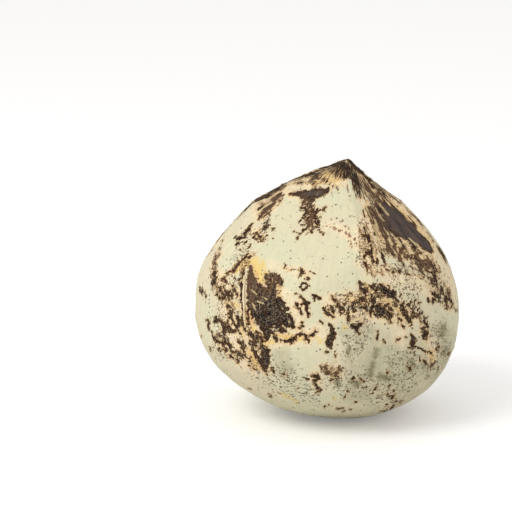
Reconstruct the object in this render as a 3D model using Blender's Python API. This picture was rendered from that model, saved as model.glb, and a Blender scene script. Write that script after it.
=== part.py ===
"""Roasted coconut, trimmed of its husk: one solid nut with a low pointed top, shaved faces and a small flat base.

Metres, +Z up, -Y to the front. The origin lies on the table under the middle of the nut.
The skin is drawn round two upright lines, one through the tip and one through the base. Both stand a
little to the right of the middle, so the nut bulges to the left as it grew. Flat faces that a knife
shaved off run down from the tip, with soft ridges between them.
"""

import bmesh
import bpy
import numpy as np

# Driving dimensions
WIDTH = 0.1250
DEPTH = 0.1220
WAIST_HEIGHT = 0.0467
# Where the flanks would meet before the knife blunted them
TIP_HEIGHT = 0.1276
# How far right of the nut's middle the tip and the base stand
TIP_OFFSET = 0.0090
BASE_OFFSET = 0.0050
# How much of the base is cut level for the nut to rest on
FLAT_DEPTH = 0.0014
# Powers that shape the skin above the waist, where a high one is full, and below it, where a low one is
LEFT_FLANK_POWER = 3.4
RIGHT_FLANK_POWER = 2.3
TIP_PINCH_POWER = 1.2
LEFT_UNDERSIDE_POWER = 1.12
RIGHT_UNDERSIDE_POWER = 0.84
# Squares along each edge of the cube that the skin is blown up from
GRID = 28

# The faces shaved by the knife: compass turn from the front to the right and rise above level, in
# degrees, of the way that each one looks, and its distance from the nut's middle
KNIFE_FACES = {
    "tip_stub": (0, 90, 0.0780),
    "front": (-20, 49, 0.0585),
    "front_right": (48, 45, 0.0600),
    "left_top": (-80, 65, 0.0643),
    "right_top": (95, 52, 0.0646),
    "left_shoulder": (-90, 38, 0.0614),
    "right_shoulder": (92, 37, 0.0632),
    "back_left": (-145, 47, 0.0595),
    "back_right": (155, 49, 0.0590),
    "lower_left": (-90, -58, 0.0512),
}
# How softly two faces meet, and the least cosine between a ray and a face's normal for a cut
RIDGE_ROUNDING = 0.0016
LEAST_FACING = 0.2
NO_CUT = 1.0

# Low swellings and hollows: turn and rise of their middle, reach along the skin, and height
SWELLINGS = {
    "tip_nub": (90, 83, 0.006, 0.0014),
    "scorched_hollow": (-48, 5, 0.017, -0.0011),
    "lower_right": (50, -25, 0.022, 0.0007),
    "back_low": (170, -15, 0.026, 0.0010),
    "back_dent": (125, 12, 0.016, -0.0009),
}

MIDDLE = np.array((0, 0, WAIST_HEIGHT))


def direction(turn, rise):
    """The unit vector at a compass turn from the front to the right and a rise above level, in degrees."""
    turn, rise = np.radians((turn, rise))
    return np.array((np.sin(turn) * np.cos(rise), -np.cos(turn) * np.cos(rise), np.sin(rise)))


def rays_and_reach(points):
    """Unit vectors from the nut's middle to the points, and how far away each point is."""
    arms = points - MIDDLE
    reach = np.linalg.norm(arms, axis=1)
    return arms / reach[:, None], reach


def grown_form(rays):
    """Points of the unshaved nut, one for each unit vector."""
    around = np.arctan2(rays[:, 1], rays[:, 0])
    climb = np.arctan2(rays[:, 2], np.hypot(rays[:, 0], rays[:, 1]))
    up = np.clip(climb, 0, None) / (np.pi / 2)
    down = np.clip(-climb, 0, None)

    to_right = 0.5 + 0.5 * np.cos(around)
    power_above = LEFT_FLANK_POWER + (RIGHT_FLANK_POWER - LEFT_FLANK_POWER) * to_right
    power_below = LEFT_UNDERSIDE_POWER + (RIGHT_UNDERSIDE_POWER - LEFT_UNDERSIDE_POWER) * to_right
    girth_above = (1 - np.clip(up, 0, 1) ** power_above) ** TIP_PINCH_POWER
    girth_below = np.cos(down) ** power_below
    girth = np.where(climb > 0, girth_above, girth_below)

    offset = np.where(climb > 0, TIP_OFFSET, BASE_OFFSET)
    height_above = WAIST_HEIGHT + up * (TIP_HEIGHT - WAIST_HEIGHT)
    height_below = WAIST_HEIGHT - np.sin(down) * (WAIST_HEIGHT + FLAT_DEPTH)
    x = offset + girth * (np.cos(around) * WIDTH / 2 - offset)
    y = girth * np.sin(around) * DEPTH / 2
    z = np.where(climb > 0, height_above, height_below)
    return np.column_stack((x, y, z))


def shaved(points):
    """The points, drawn in to the faces that the knife left."""
    rays, reach = rays_and_reach(points)
    for turn, rise, distance in KNIFE_FACES.values():
        facing = rays @ direction(turn, rise)
        to_face = distance / np.maximum(facing, LEAST_FACING)
        to_face = np.where(facing > LEAST_FACING, to_face, NO_CUT)
        # The smaller of the two lengths, with a rounded change from one to the other
        reach = (to_face + reach - np.hypot(to_face - reach, RIDGE_ROUNDING)) / 2
    return MIDDLE + rays * reach[:, None]


def swollen(points):
    """The points, raised or sunk by the low swellings."""
    rays, reach = rays_and_reach(points)
    for turn, rise, size, height in SWELLINGS.values():
        apart = np.arccos(np.clip(rays @ direction(turn, rise), -1, 1)) * reach
        reach = reach + height * np.exp(-((apart / size) ** 2))
    return MIDDLE + rays * reach[:, None]


def coconut_form(rays):
    """Points of the finished skin, one for each unit vector, with the base cut level."""
    points = swollen(shaved(grown_form(rays)))
    points[:, 2] = np.maximum(points[:, 2], 0)
    return points


def coconut_mesh():
    """A cube of even squares, blown up into the coconut."""
    bm = bmesh.new()
    bmesh.ops.create_cube(bm, size=2)
    bmesh.ops.subdivide_edges(bm, edges=bm.edges, cuts=GRID - 1, use_grid_fill=True)
    cube = np.array([vertex.co for vertex in bm.verts])
    rays = np.tan(cube * np.pi / 4)
    rays /= np.linalg.norm(rays, axis=1)[:, None]
    for vertex, place in zip(bm.verts, coconut_form(rays)):
        vertex.co = place
    mesh = bpy.data.meshes.new("coconut")
    bm.to_mesh(mesh)
    bm.free()
    mesh.shade_smooth()
    return mesh


def husk_material():
    """Dry pale husk, matt and a little toasted."""
    material = bpy.data.materials.new("toasted husk")
    material.use_nodes = True
    bsdf = material.node_tree.nodes["Principled BSDF"]
    bsdf.inputs["Base Color"].default_value = (0.75, 0.70, 0.50, 1)
    bsdf.inputs["Roughness"].default_value = 0.8
    bsdf.inputs["Metallic"].default_value = 0.0
    return material


def build():
    """The scene's old objects out, the coconut in."""
    for old in list(bpy.data.objects):
        bpy.data.objects.remove(old)
    coconut = bpy.data.objects.new("coconut", coconut_mesh())
    coconut.data.materials.append(husk_material())
    bpy.context.scene.collection.objects.link(coconut)


build()
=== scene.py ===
# %% [markdown]
# # A roasted coconut
#
# A young coconut is trimmed with a knife until only a thin, pale layer of husk is left, and is then
# roasted over an open fire. The knife leaves broad flat faces that run down from a low pointed top, and
# the fire leaves black char, brown scorch and tan toasting on whatever stood proud.
#
# The whole object is one nut. This lesson makes its skin as one fine mesh, works out where every burn
# lies on it, and lets one material paint them. A few real pieces go on top: a pale splinter that a knife
# stroke lifted, stray fibres and crumbs of char.
#
# First comes the plain model that everything is built round. It holds the size and place of the nut.

# %% The plain model
import bmesh
import bpy
import numpy as np
from mathutils import Matrix, Vector, noise
from mathutils.bvhtree import BVHTree


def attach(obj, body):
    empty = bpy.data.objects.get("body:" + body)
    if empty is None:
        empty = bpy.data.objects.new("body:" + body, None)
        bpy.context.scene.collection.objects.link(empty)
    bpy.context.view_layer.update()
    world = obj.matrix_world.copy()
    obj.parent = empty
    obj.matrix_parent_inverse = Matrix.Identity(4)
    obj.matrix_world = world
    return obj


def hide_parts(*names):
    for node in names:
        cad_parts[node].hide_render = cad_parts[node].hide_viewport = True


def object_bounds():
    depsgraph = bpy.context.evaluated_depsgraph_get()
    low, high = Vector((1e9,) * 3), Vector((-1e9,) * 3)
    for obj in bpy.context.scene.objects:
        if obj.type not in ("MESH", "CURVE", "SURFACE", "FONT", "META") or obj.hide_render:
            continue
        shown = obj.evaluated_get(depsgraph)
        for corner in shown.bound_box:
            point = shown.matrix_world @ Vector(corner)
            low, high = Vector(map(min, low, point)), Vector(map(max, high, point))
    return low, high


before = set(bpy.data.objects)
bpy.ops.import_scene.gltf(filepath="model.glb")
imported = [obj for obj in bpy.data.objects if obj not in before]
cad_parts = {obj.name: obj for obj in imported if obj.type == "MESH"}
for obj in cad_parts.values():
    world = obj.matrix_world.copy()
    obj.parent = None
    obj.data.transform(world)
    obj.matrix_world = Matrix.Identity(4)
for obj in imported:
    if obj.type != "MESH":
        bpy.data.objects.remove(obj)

plain_low, plain_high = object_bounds()
print("plain model, mm:", [round(1000 * (h - l), 1) for l, h in zip(plain_low, plain_high)])

# %% [markdown]
# The camera comes before the nut is dressed, because the burns are placed through it. The photograph
# shows the nut from the front and from a little above, with hardly any perspective, so the camera stands
# a metre away with a long lens. The frame is 512 pixels square. One point of the nut is chosen, the one
# on its upright middle line at 49 mm, and the camera is slid sideways until that point falls on the
# pixel where the photograph has it. Sliding the camera keeps its view level, where turning it would not.

# %% Camera
FRAME_PIXELS = 512
VIEW_RISE = np.radians(12)
VIEW_DISTANCE = 1.0
AIM_POINT = np.array((0, 0, 0.049))
AIM_PIXEL = (327, 309.5)
NUT_WIDTH = 0.1250
NUT_PIXELS = 264
SENSOR = 36

view_ahead = np.array((0, np.cos(VIEW_RISE), -np.sin(VIEW_RISE)))
view_right = np.array((1.0, 0, 0))
view_up = np.array((0, np.sin(VIEW_RISE), np.cos(VIEW_RISE)))
pixels_per_metre = NUT_PIXELS / NUT_WIDTH
slide_right = (FRAME_PIXELS / 2 - AIM_PIXEL[0]) / pixels_per_metre
slide_up = (AIM_PIXEL[1] - FRAME_PIXELS / 2) / pixels_per_metre
eye = AIM_POINT - view_ahead * VIEW_DISTANCE + view_right * slide_right + view_up * slide_up



def object_of(name, data):
    """An object that shows the data, in the scene."""
    made = bpy.data.objects.new(name, data)
    bpy.context.scene.collection.objects.link(made)
    return made


camera_data = bpy.data.cameras.new("camera")
camera_data.sensor_width = SENSOR
camera_data.lens = SENSOR * VIEW_DISTANCE * pixels_per_metre / FRAME_PIXELS
camera = object_of("camera", camera_data)
camera.matrix_world = Matrix((
    (*map(float, (view_right[0], view_up[0], -view_ahead[0])), float(eye[0])),
    (*map(float, (view_right[1], view_up[1], -view_ahead[1])), float(eye[1])),
    (*map(float, (view_right[2], view_up[2], -view_ahead[2])), float(eye[2])),
    (0, 0, 0, 1),
))
bpy.context.scene.camera = camera
print("lens, mm:", round(camera_data.lens, 1), "eye:", eye.round(3))

# %% [markdown]
# A burn is easiest to describe by the pixel where it is seen. To find where that is on the nut, a ray is
# sent from the eye through the pixel until it meets the plain model. A pixel that just misses the
# outline is drawn in towards the middle of the nut until its ray hits.

# %% From a pixel to the skin
NUT_MIDDLE_PIXEL = np.array((327.0, 295.0))
HALF_PIXEL = 0.5
MOST_STEPS = 30

plain_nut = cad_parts["coconut"]
plain_tree = BVHTree.FromObject(plain_nut, bpy.context.evaluated_depsgraph_get())


def ray_through(pixel):
    """The direction from the eye through a pixel of the photograph."""
    across = (pixel[0] - FRAME_PIXELS / 2) / (pixels_per_metre * VIEW_DISTANCE)
    down = (pixel[1] - FRAME_PIXELS / 2) / (pixels_per_metre * VIEW_DISTANCE)
    ray = view_ahead + across * view_right - down * view_up
    return ray / np.linalg.norm(ray)


def skin_at(x, y):
    """The point of the nut that shows at a pixel."""
    pixel = np.array((x, y), float)
    inwards = NUT_MIDDLE_PIXEL - pixel
    inwards = HALF_PIXEL * inwards / max(np.linalg.norm(inwards), HALF_PIXEL)
    for _ in range(MOST_STEPS):
        hit = plain_tree.ray_cast(Vector(eye), Vector(ray_through(pixel)))[0]
        if hit is not None:
            return np.array(hit)
        pixel = pixel + inwards
    raise ValueError(f"no skin near pixel {x}, {y}")


PIXEL = (VIEW_DISTANCE - NUT_WIDTH / 2) / pixels_per_metre
print("one pixel on the front of the nut, mm:", round(1000 * PIXEL, 3))

# %% [markdown]
# ## The skin
#
# The nut's form is drawn round two upright lines, one through the tip and one through the base. Powers
# set how full each flank is. Ten flat faces then cut it, as the knife did, each given by the way it
# looks and its distance from the middle, and a rounded minimum softens the ridges between them. These
# are the numbers that the plain model was made from, so the two agree to a fraction of a millimetre.

# %% The nut's form
DEPTH = 0.1220
WAIST_HEIGHT = 0.0467
TIP_HEIGHT = 0.1276
TIP_OFFSET = 0.0090
BASE_OFFSET = 0.0050
FLAT_DEPTH = 0.0014
LEFT_FLANK_POWER = 3.4
RIGHT_FLANK_POWER = 2.3
TIP_PINCH_POWER = 1.2
LEFT_UNDERSIDE_POWER = 1.12
RIGHT_UNDERSIDE_POWER = 0.84
# Turn from the front to the right and rise above level, in degrees, then distance from the middle
KNIFE_FACES = {
    "tip_stub": (0, 90, 0.0780),
    "front": (-20, 49, 0.0585),
    "front_right": (48, 45, 0.0600),
    "left_top": (-80, 65, 0.0643),
    "right_top": (95, 52, 0.0646),
    "left_shoulder": (-90, 38, 0.0614),
    "right_shoulder": (92, 37, 0.0632),
    "back_left": (-145, 47, 0.0595),
    "back_right": (155, 49, 0.0590),
    "lower_left": (-90, -58, 0.0512),
}
RIDGE_ROUNDING = 0.0016
LEAST_FACING = 0.2
NO_CUT = 1.0
# Turn and rise of the middle, reach along the skin, and height
SWELLINGS = {
    "tip_nub": (90, 83, 0.006, 0.0014),
    "scorched_hollow": (-48, 5, 0.017, -0.0011),
    "lower_right": (50, -25, 0.022, 0.0007),
    "back_low": (170, -15, 0.026, 0.0010),
    "back_dent": (125, 12, 0.016, -0.0009),
}
MIDDLE = np.array((0, 0, WAIST_HEIGHT))


def direction(turn, rise):
    """Unit vectors at a compass turn from the front to the right and a rise above level, in degrees."""
    turn, rise = np.radians(turn), np.radians(rise)
    return np.array((np.sin(turn) * np.cos(rise), -np.cos(turn) * np.cos(rise), np.sin(rise)))


def rays_and_reach(points):
    arms = points - MIDDLE
    reach = np.linalg.norm(arms, axis=1)
    return arms / reach[:, None], reach


def grown_form(rays):
    """The nut before the knife, one point for each unit vector."""
    around = np.arctan2(rays[:, 1], rays[:, 0])
    climb = np.arctan2(rays[:, 2], np.hypot(rays[:, 0], rays[:, 1]))
    up = np.clip(climb, 0, None) / (np.pi / 2)
    down = np.clip(-climb, 0, None)
    to_right = 0.5 + 0.5 * np.cos(around)
    power_above = LEFT_FLANK_POWER + (RIGHT_FLANK_POWER - LEFT_FLANK_POWER) * to_right
    power_below = LEFT_UNDERSIDE_POWER + (RIGHT_UNDERSIDE_POWER - LEFT_UNDERSIDE_POWER) * to_right
    girth_above = (1 - np.clip(up, 0, 1) ** power_above) ** TIP_PINCH_POWER
    girth = np.where(climb > 0, girth_above, np.cos(down) ** power_below)
    offset = np.where(climb > 0, TIP_OFFSET, BASE_OFFSET)
    height_above = WAIST_HEIGHT + up * (TIP_HEIGHT - WAIST_HEIGHT)
    height_below = WAIST_HEIGHT - np.sin(down) * (WAIST_HEIGHT + FLAT_DEPTH)
    x = offset + girth * (np.cos(around) * NUT_WIDTH / 2 - offset)
    y = girth * np.sin(around) * DEPTH / 2
    return np.column_stack((x, y, np.where(climb > 0, height_above, height_below)))


def coconut_form(rays):
    """The nut after the knife, with its swellings and its level base."""
    rays, reach = rays_and_reach(grown_form(rays))
    for turn, rise, distance in KNIFE_FACES.values():
        facing = rays @ direction(turn, rise)
        to_face = np.where(facing > LEAST_FACING, distance / np.maximum(facing, LEAST_FACING), NO_CUT)
        reach = (to_face + reach - np.hypot(to_face - reach, RIDGE_ROUNDING)) / 2
    for turn, rise, size, height in SWELLINGS.values():
        apart = np.arccos(np.clip(rays @ direction(turn, rise), -1, 1)) * reach
        reach = reach + height * np.exp(-((apart / size) ** 2))
    points = MIDDLE + rays * reach[:, None]
    points[:, 2] = np.maximum(points[:, 2], 0)
    return points


# %% [markdown]
# The mesh that carries the form is a cube whose faces are cut into small squares and blown up into a
# ball. Unlike a globe it has no pole where slivers crowd together. The burns are stored on its corners,
# so the squares should be smallest where the photograph looks: the ball's centre is moved towards the
# eye, and rays from there meet the front in squares half as wide as those on the side and a third of
# those behind.

# %% A fine grid of rays
SQUARES_ALONG_EDGE = 124
CENTRE_TOWARDS_EYE = 0.5

grid = bmesh.new()
bmesh.ops.create_cube(grid, size=2)
bmesh.ops.subdivide_edges(grid, edges=grid.edges, cuts=SQUARES_ALONG_EDGE - 1, use_grid_fill=True)
nut_mesh = bpy.data.meshes.new("roasted_nut")
grid.to_mesh(nut_mesh)
grid.free()

cube = np.zeros(len(nut_mesh.vertices) * 3)
nut_mesh.vertices.foreach_get("co", cube)
spokes = np.tan(cube.reshape(-1, 3) * np.pi / 4)
spokes /= np.linalg.norm(spokes, axis=1)[:, None]
centre = -view_ahead * CENTRE_TOWARDS_EYE
along = spokes @ centre
spokes = centre + spokes * (-along + np.sqrt(along**2 + 1 - centre @ centre))[:, None]
form = coconut_form(spokes)
print("corners:", len(form), "squares:", len(nut_mesh.polygons))

# %% [markdown]
# Coconut husk is made of fibres that run from the tip to the base. Scorch follows them, and so do the
# scratches of the knife. Two vectors say where the fibres go. `fibre` holds the way round the nut and
# the distance down from the tip, so that a pattern stretched along its third number makes streaks.
# `grain` is the downhill direction itself, which loose fibres will lie along.

# %% Which way the fibres run
FIBRE_RADIUS = 0.045      # of the ring that says which way round the nut a fibre lies
PATH_RADIUS = 0.062       # makes a length of the angle down from the tip
SLANT_ABOVE = 0.06        # height above which the fibres also lean outwards, and how much
SLANT = 0.3
ALMOST_NOUGHT = 1e-6

from_tip = form - np.array((TIP_OFFSET, 0, 0))
from_tip[:, 0] += (TIP_OFFSET - BASE_OFFSET) * np.clip(1 - form[:, 2] / TIP_HEIGHT, 0, 1)
round_nut = np.arctan2(from_tip[:, 1], from_tip[:, 0])
girth_now = np.hypot(from_tip[:, 0], from_tip[:, 1])
path = np.arctan2(girth_now, form[:, 2] - WAIST_HEIGHT) * PATH_RADIUS
fibre = np.column_stack((FIBRE_RADIUS * np.cos(round_nut), FIBRE_RADIUS * np.sin(round_nut), path))
outwards = np.column_stack((np.cos(round_nut), np.sin(round_nut), np.zeros(len(form))))
rays_now = rays_and_reach(form)[0]
downhill = np.array((0, 0, -1.0)) + rays_now * rays_now[:, 2:3]
grain = downhill + outwards * (form[:, 2:3] > SLANT_ABOVE) * SLANT
grain /= np.maximum(np.linalg.norm(grain, axis=1), ALMOST_NOUGHT)[:, None]
print("fibres, longest path, mm:", round(1000 * path.max()))

# %% [markdown]
# ## Where the fire touched
#
# A burn is written down as a brush stroke: a few stops, each with a pixel across, a pixel down and half
# of the stroke's width there. Every stroke has a name for what it is. Strokes are gathered by what the
# fire did. `CHAR` is burnt black, and it is by far the longest list. The others say where the burn
# is smooth and grey, where the husk is toasted tan or has gone yellow, where it is red, and which ground
# is mottled, speckled, browner than the rest, or grimy and darkened by painted shade.

# %% Char round the tip and down the left
TIP_CHAR = {
    "left_rim_high": ((344.5, 157.8, 2.8), (336.4, 159.6, 3.2), (327.4, 163.6, 3.0),
        (319.4, 168.6, 3.0), (311.4, 172.6, 3.0)),
    "left_rim_low": ((311.4, 172.6, 3.0), (302.4, 174.8, 2.4), (296.4, 176.8, 2.2), (289.4, 179.8, 2.2)),
    "left_rim_thick": ((321, 172.5, 2.2), (315, 176, 2.4), (311, 178, 1.2)),
    "left_wedge_high": ((287.4, 181.6, 2.2), (280.4, 185.2, 3.4), (273.2, 188.6, 4.0), (267.2, 192.6, 3.6)),
    "left_wedge_low": ((267.2, 192.6, 3.6), (260.2, 196.6, 3.6), (251.2, 202.6, 3.2),
        (243.2, 208.6, 2.6), (236, 215.6, 1.8)),
    "apex_left": ((333, 166, 2.2), (338, 165, 2.6), (343, 165, 3.6)),
    "apex_middle": ((343, 164, 3.6), (348, 168, 4.2), (347, 174, 3.0)),
    "apex_low": ((338, 170, 1.6), (343, 173, 1.6), (345, 178, 1.0)),
    "apex_lower": ((331, 170, 1.2), (335, 174, 1.0), (341, 177, 0.9)),
    "right_rim_high": ((351, 158.8, 3.2), (356.4, 163.8, 3.8), (361.4, 169.2, 3.6), (369, 175.6, 2.8)),
    "right_rim_middle": ((369, 175.6, 2.8), (377, 179.8, 2.6), (386, 187.2, 2.6), (393, 193.8, 2.2),
        (402, 201.8, 1.6)),
    "right_rim_low": ((405, 203.8, 1.2), (415, 213.8, 1.5), (425, 225.8, 1.4)),
    "right_rim_flake": ((399, 201, 1.0), (401, 202, 1.4)),
    "dark_strip": ((350, 168, 4.0), (354, 175, 4.6), (358, 183, 3.6), (360, 190, 2.0)),
    "dark_strip_end": ((360, 190, 2.0), (362, 196, 1.2)),
    "ridge_line": ((352, 180, 1.4), (356, 190, 1.0), (359, 198, 0.7)),
    "ridge_bits": ((364, 210, 0.8), (366, 216, 0.9)),
    "dash_a": ((296, 182, 0.7), (302, 181, 0.7)),
    "dash_b": ((313, 185, 0.8), (321, 187, 0.8)),
    "dash_c": ((311, 179, 0.8), (316, 183, 0.7)),
    "dash_d": ((325, 182, 0.7), (332, 185, 0.6)),
    "dash_e": ((320, 178, 0.8), (328, 181, 0.7)),
    "spot_below_tip": ((337, 187, 1.9), (338, 190, 0.8)),
    "spot_beside": ((333, 185, 0.8), (334, 186, 0.6)),
}
LEFT_TOP_CHAR = {
    "brown_patch": ((281, 194, 1.6), (276, 197, 2.6), (272, 200, 1.4)),
    "streaky_high": ((274, 203, 1.5), (270, 205, 3.0), (266, 209, 3.8), (262, 213, 2.4)),
    "streaky_low": ((262, 213, 2.2), (260, 216, 1.4), (258, 219, 0.8)),
    "streaky_edge": ((261, 205, 1.2), (258, 210, 1.2), (257, 215, 0.8)),
    "tan_dash": ((284, 195, 0.7), (277, 204, 0.7)),
    "stroke_low": ((258, 242, 1.1), (261, 239, 1.2), (263, 234, 1.1)),
    "speckle_a": ((256, 233, 1.3), (259, 236, 1.0)),
    "speckle_b": ((254, 239, 1.2), (257, 240, 0.8)),
    "dots_a": ((273, 229, 0.9), (273, 229.5, 0.9)),
    "dots_b": ((273, 238, 0.9), (273, 238.5, 0.8)),
    "high_left_a": ((236, 238, 1.8), (244, 236, 1.2), (249, 228, 1.2), (252, 222, 0.8)),
    "high_left_b": ((237, 244, 1.2), (246, 241, 1.0)),
    "high_left_c": ((246, 247, 1.0), (250, 244, 0.9)),
    "high_left_d": ((240, 250, 1.0), (243, 249, 0.8)),
}
BRANCHED_CHAR = {
    "crown": ((301, 198, 1.9), (304, 202, 2.3), (309, 204, 1.6)),
    "crown_high": ((303, 196, 2.4), (308, 199, 2.6), (314, 200, 2.0)),
    "body": ((308, 205, 1.4), (313, 207, 2.6), (315, 212, 2.0)),
    "body_low": ((311, 212, 1.4), (313, 216, 1.2)),
    "right_arm": ((318, 208, 2.0), (323, 209, 1.2), (327, 206, 1.4)),
    "stem": ((309, 212, 1.2), (312, 218, 1.5), (312, 225, 1.1)),
    "left_arm_a": ((308, 213, 1.2), (301, 218, 1.1), (299, 221, 0.8)),
    "left_arm_b": ((310, 219, 1.2), (304, 223, 1.1), (301, 224, 0.8)),
    "left_arm_c": ((309, 225, 1.2), (303, 229, 1.1), (300, 232, 0.8)),
    "right_lobe": ((315, 217, 1.2), (317, 221, 2.0), (318, 225, 1.5)),
    "tail": ((318, 226, 1.2), (321, 231, 1.2), (323, 234, 0.8)),
    "spot_a": ((310, 229, 1.2), (311, 233, 0.8)),
    "spot_b": ((306, 226, 1.1), (305, 228, 0.8)),
    "spot_c": ((298, 233, 0.9), (296.5, 238, 0.9)),
    "spot_d": ((294, 231, 0.8), (295, 232, 0.7)),
    "spot_e": ((300, 209, 1.0), (303, 210, 1.2)),
    "spot_f": ((320, 215, 0.9), (321, 219, 1.0)),
}
LEFT_FLANK_CHAR = {
    "rim_streaks": ((217, 240, 0.9), (213, 247, 0.9), (208, 255, 0.8)),
    "clump_a": ((221, 239, 1.3), (222, 242, 1.2)),
    "clump_b": ((219, 247, 1.3), (219, 250, 1.0)),
    "clump_c": ((215, 252, 1.2), (215, 257, 1.2)),
    "streak_a": ((224, 240, 0.7), (217, 251, 0.7)),
    "streak_b": ((222, 246, 0.7), (216, 258, 0.7)),
    "spots_high": ((213, 260, 0.9), (214, 264, 1.0)),
    "chain": ((213, 268, 1.1), (214, 272, 1.4), (215, 276, 1.6)),
    "grey_patch": ((213, 275, 2.0), (212, 280, 2.3), (213, 284, 1.5)),
    "dark_dot": ((233, 278, 1.2), (233.5, 278, 1.0)),
    "olive_dot": ((222, 279, 1.6), (224, 282, 1.4)),
    "small_dot": ((232, 285, 0.9), (233, 287, 0.8)),
    "scar": ((225, 275, 0.7), (231, 270, 1.1), (236, 265, 1.2), (241, 261, 1.2), (247, 256.5, 1.0)),
    "scar_end": ((247, 256.5, 1.0), (252, 253, 0.8)),
    "purple_wedge": ((232, 289, 1.2), (234, 292, 2.2), (236, 296, 1.2)),
    "beside_splinter": ((239, 280, 1.4), (240.5, 285, 2.2), (241, 290, 1.2)),
    "splinter_top": ((246, 262, 0.7), (242.5, 268, 0.9), (241, 276, 1.1), (240, 288, 1.2), (241, 300, 0.9)),
    "chain_low": ((219, 288, 1.2), (221, 292, 1.3), (227, 294, 1.3), (230, 296, 0.9)),
    "column": ((224, 287, 1.1), (224, 292, 1.2)),
    "blotch_a": ((215, 295, 1.2), (219, 298, 1.6)),
    "blotch_b": ((223, 297, 1.8), (227, 299, 1.4)),
    "rim_bit": ((200, 288, 0.9), (201, 293, 0.8)),
    "rim_bit_low": ((204, 292, 0.7), (205, 297, 0.7)),
    "arc": ((227, 305, 1.1), (231, 305, 1.3), (232, 310, 1.3)),
    "arc_low": ((228, 308, 1.0), (230, 312, 1.3), (233, 313, 1.1)),
    "comma": ((228, 313, 1.2), (231, 320, 1.4), (233, 325, 1.4), (237, 328, 1.1)),
    "purple_blob": ((237, 314, 1.4), (239, 320, 2.4), (238, 327, 1.8)),
    "mesh_a": ((221, 321, 1.4), (224, 326, 2.0), (229, 330, 1.8)),
    "mesh_b": ((226, 321, 1.1), (224, 330, 1.1)),
    "mesh_c": ((229, 331, 1.3), (238, 331, 1.3), (240, 335, 1.0)),
    "olive_patch": ((214, 318, 1.5), (215, 322, 2.4), (218, 319, 1.0)),
    "pips": ((208, 322, 1.0), (208.5, 326, 1.1), (209, 331, 1.1)),
    "pip_left": ((206, 320, 0.8), (206, 321, 0.7)),
    "chain_down": ((211, 333, 1.2), (215, 338, 1.5), (219, 343, 1.4)),
    "chain_side": ((217, 334, 1.0), (223, 340, 1.3), (225, 343, 1.0)),
    "blob": ((219, 342, 1.4), (222, 345, 1.7)),
    "hooks": ((218, 348, 0.8), (221, 351, 0.8)),
    "hooks_right": ((223, 348, 1.0), (225, 352, 1.0)),
    "rim_low": ((200, 336, 0.9), (200, 339, 0.8)),
    "rim_lower": ((210, 348, 1.0), (211, 351, 0.9)),
    "great_stroke": ((237, 339, 1.4), (240, 345, 2.0), (243, 350, 1.6)),
    "great_stroke_side": ((243, 340, 1.0), (245, 347, 0.9)),
    "slant_a": ((250, 340, 1.3), (256, 345, 1.3)),
    "slant_b": ((250, 344, 1.2), (253, 350, 1.7), (257, 356, 1.7)),
    "slant_c": ((257, 356, 1.7), (260, 363, 1.6), (265, 373, 0.9)),
    "loop": ((254, 333, 1.0), (258, 336, 1.2), (262, 341, 1.2), (257, 343, 1.0)),
    "bar_a": ((232, 352, 1.0), (235, 352.5, 1.0)),
    "bar_b": ((230, 354, 0.8), (231.5, 357, 1.4), (233, 359, 0.8)),
    "bar_c": ((236, 355, 1.2), (241, 356, 1.5), (241.5, 359, 1.2)),
    "bar_d": ((244, 355, 1.3), (246, 358, 1.2)),
    "bent": ((238, 361, 0.9), (235, 358, 0.9), (237, 364, 0.9)),
    "hook": ((250, 357, 0.9), (249.5, 361, 0.9), (247, 362.5, 0.9)),
    "lower_patch_high": ((262, 347, 2.6), (265, 351, 3.8), (265, 357, 4.4)),
    "lower_patch_low": ((265, 357, 4.4), (265, 363, 4.2), (266, 368, 2.2)),
    "lower_patch_left": ((256, 356, 2.6), (260, 360, 3.2), (263, 368, 2.4)),
    "lower_patch_tip": ((262, 366, 2.4), (265, 371, 1.6), (267, 375, 0.8)),
    "stray_spot": ((272, 369, 1.3), (273, 372, 1.1)),
    "little_dots": ((247, 365, 0.6), (254, 370, 0.7)),
}
print("char strokes so far:", sum(map(len, (TIP_CHAR, LEFT_TOP_CHAR, BRANCHED_CHAR, LEFT_FLANK_CHAR))))

# %% [markdown]
# The largest burn is on the left of the front. It has a brown flank beside the splinter, a purple-brown
# shoulder, a black heart and a slate tail, and worm-like crumbs of char trail from its lower edge. The
# middle of the face is almost clean. The right side has a long smooth grey burn with brown streaks beside
# it, and below that a band of mottled brown that crosses the whole nut.

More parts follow.
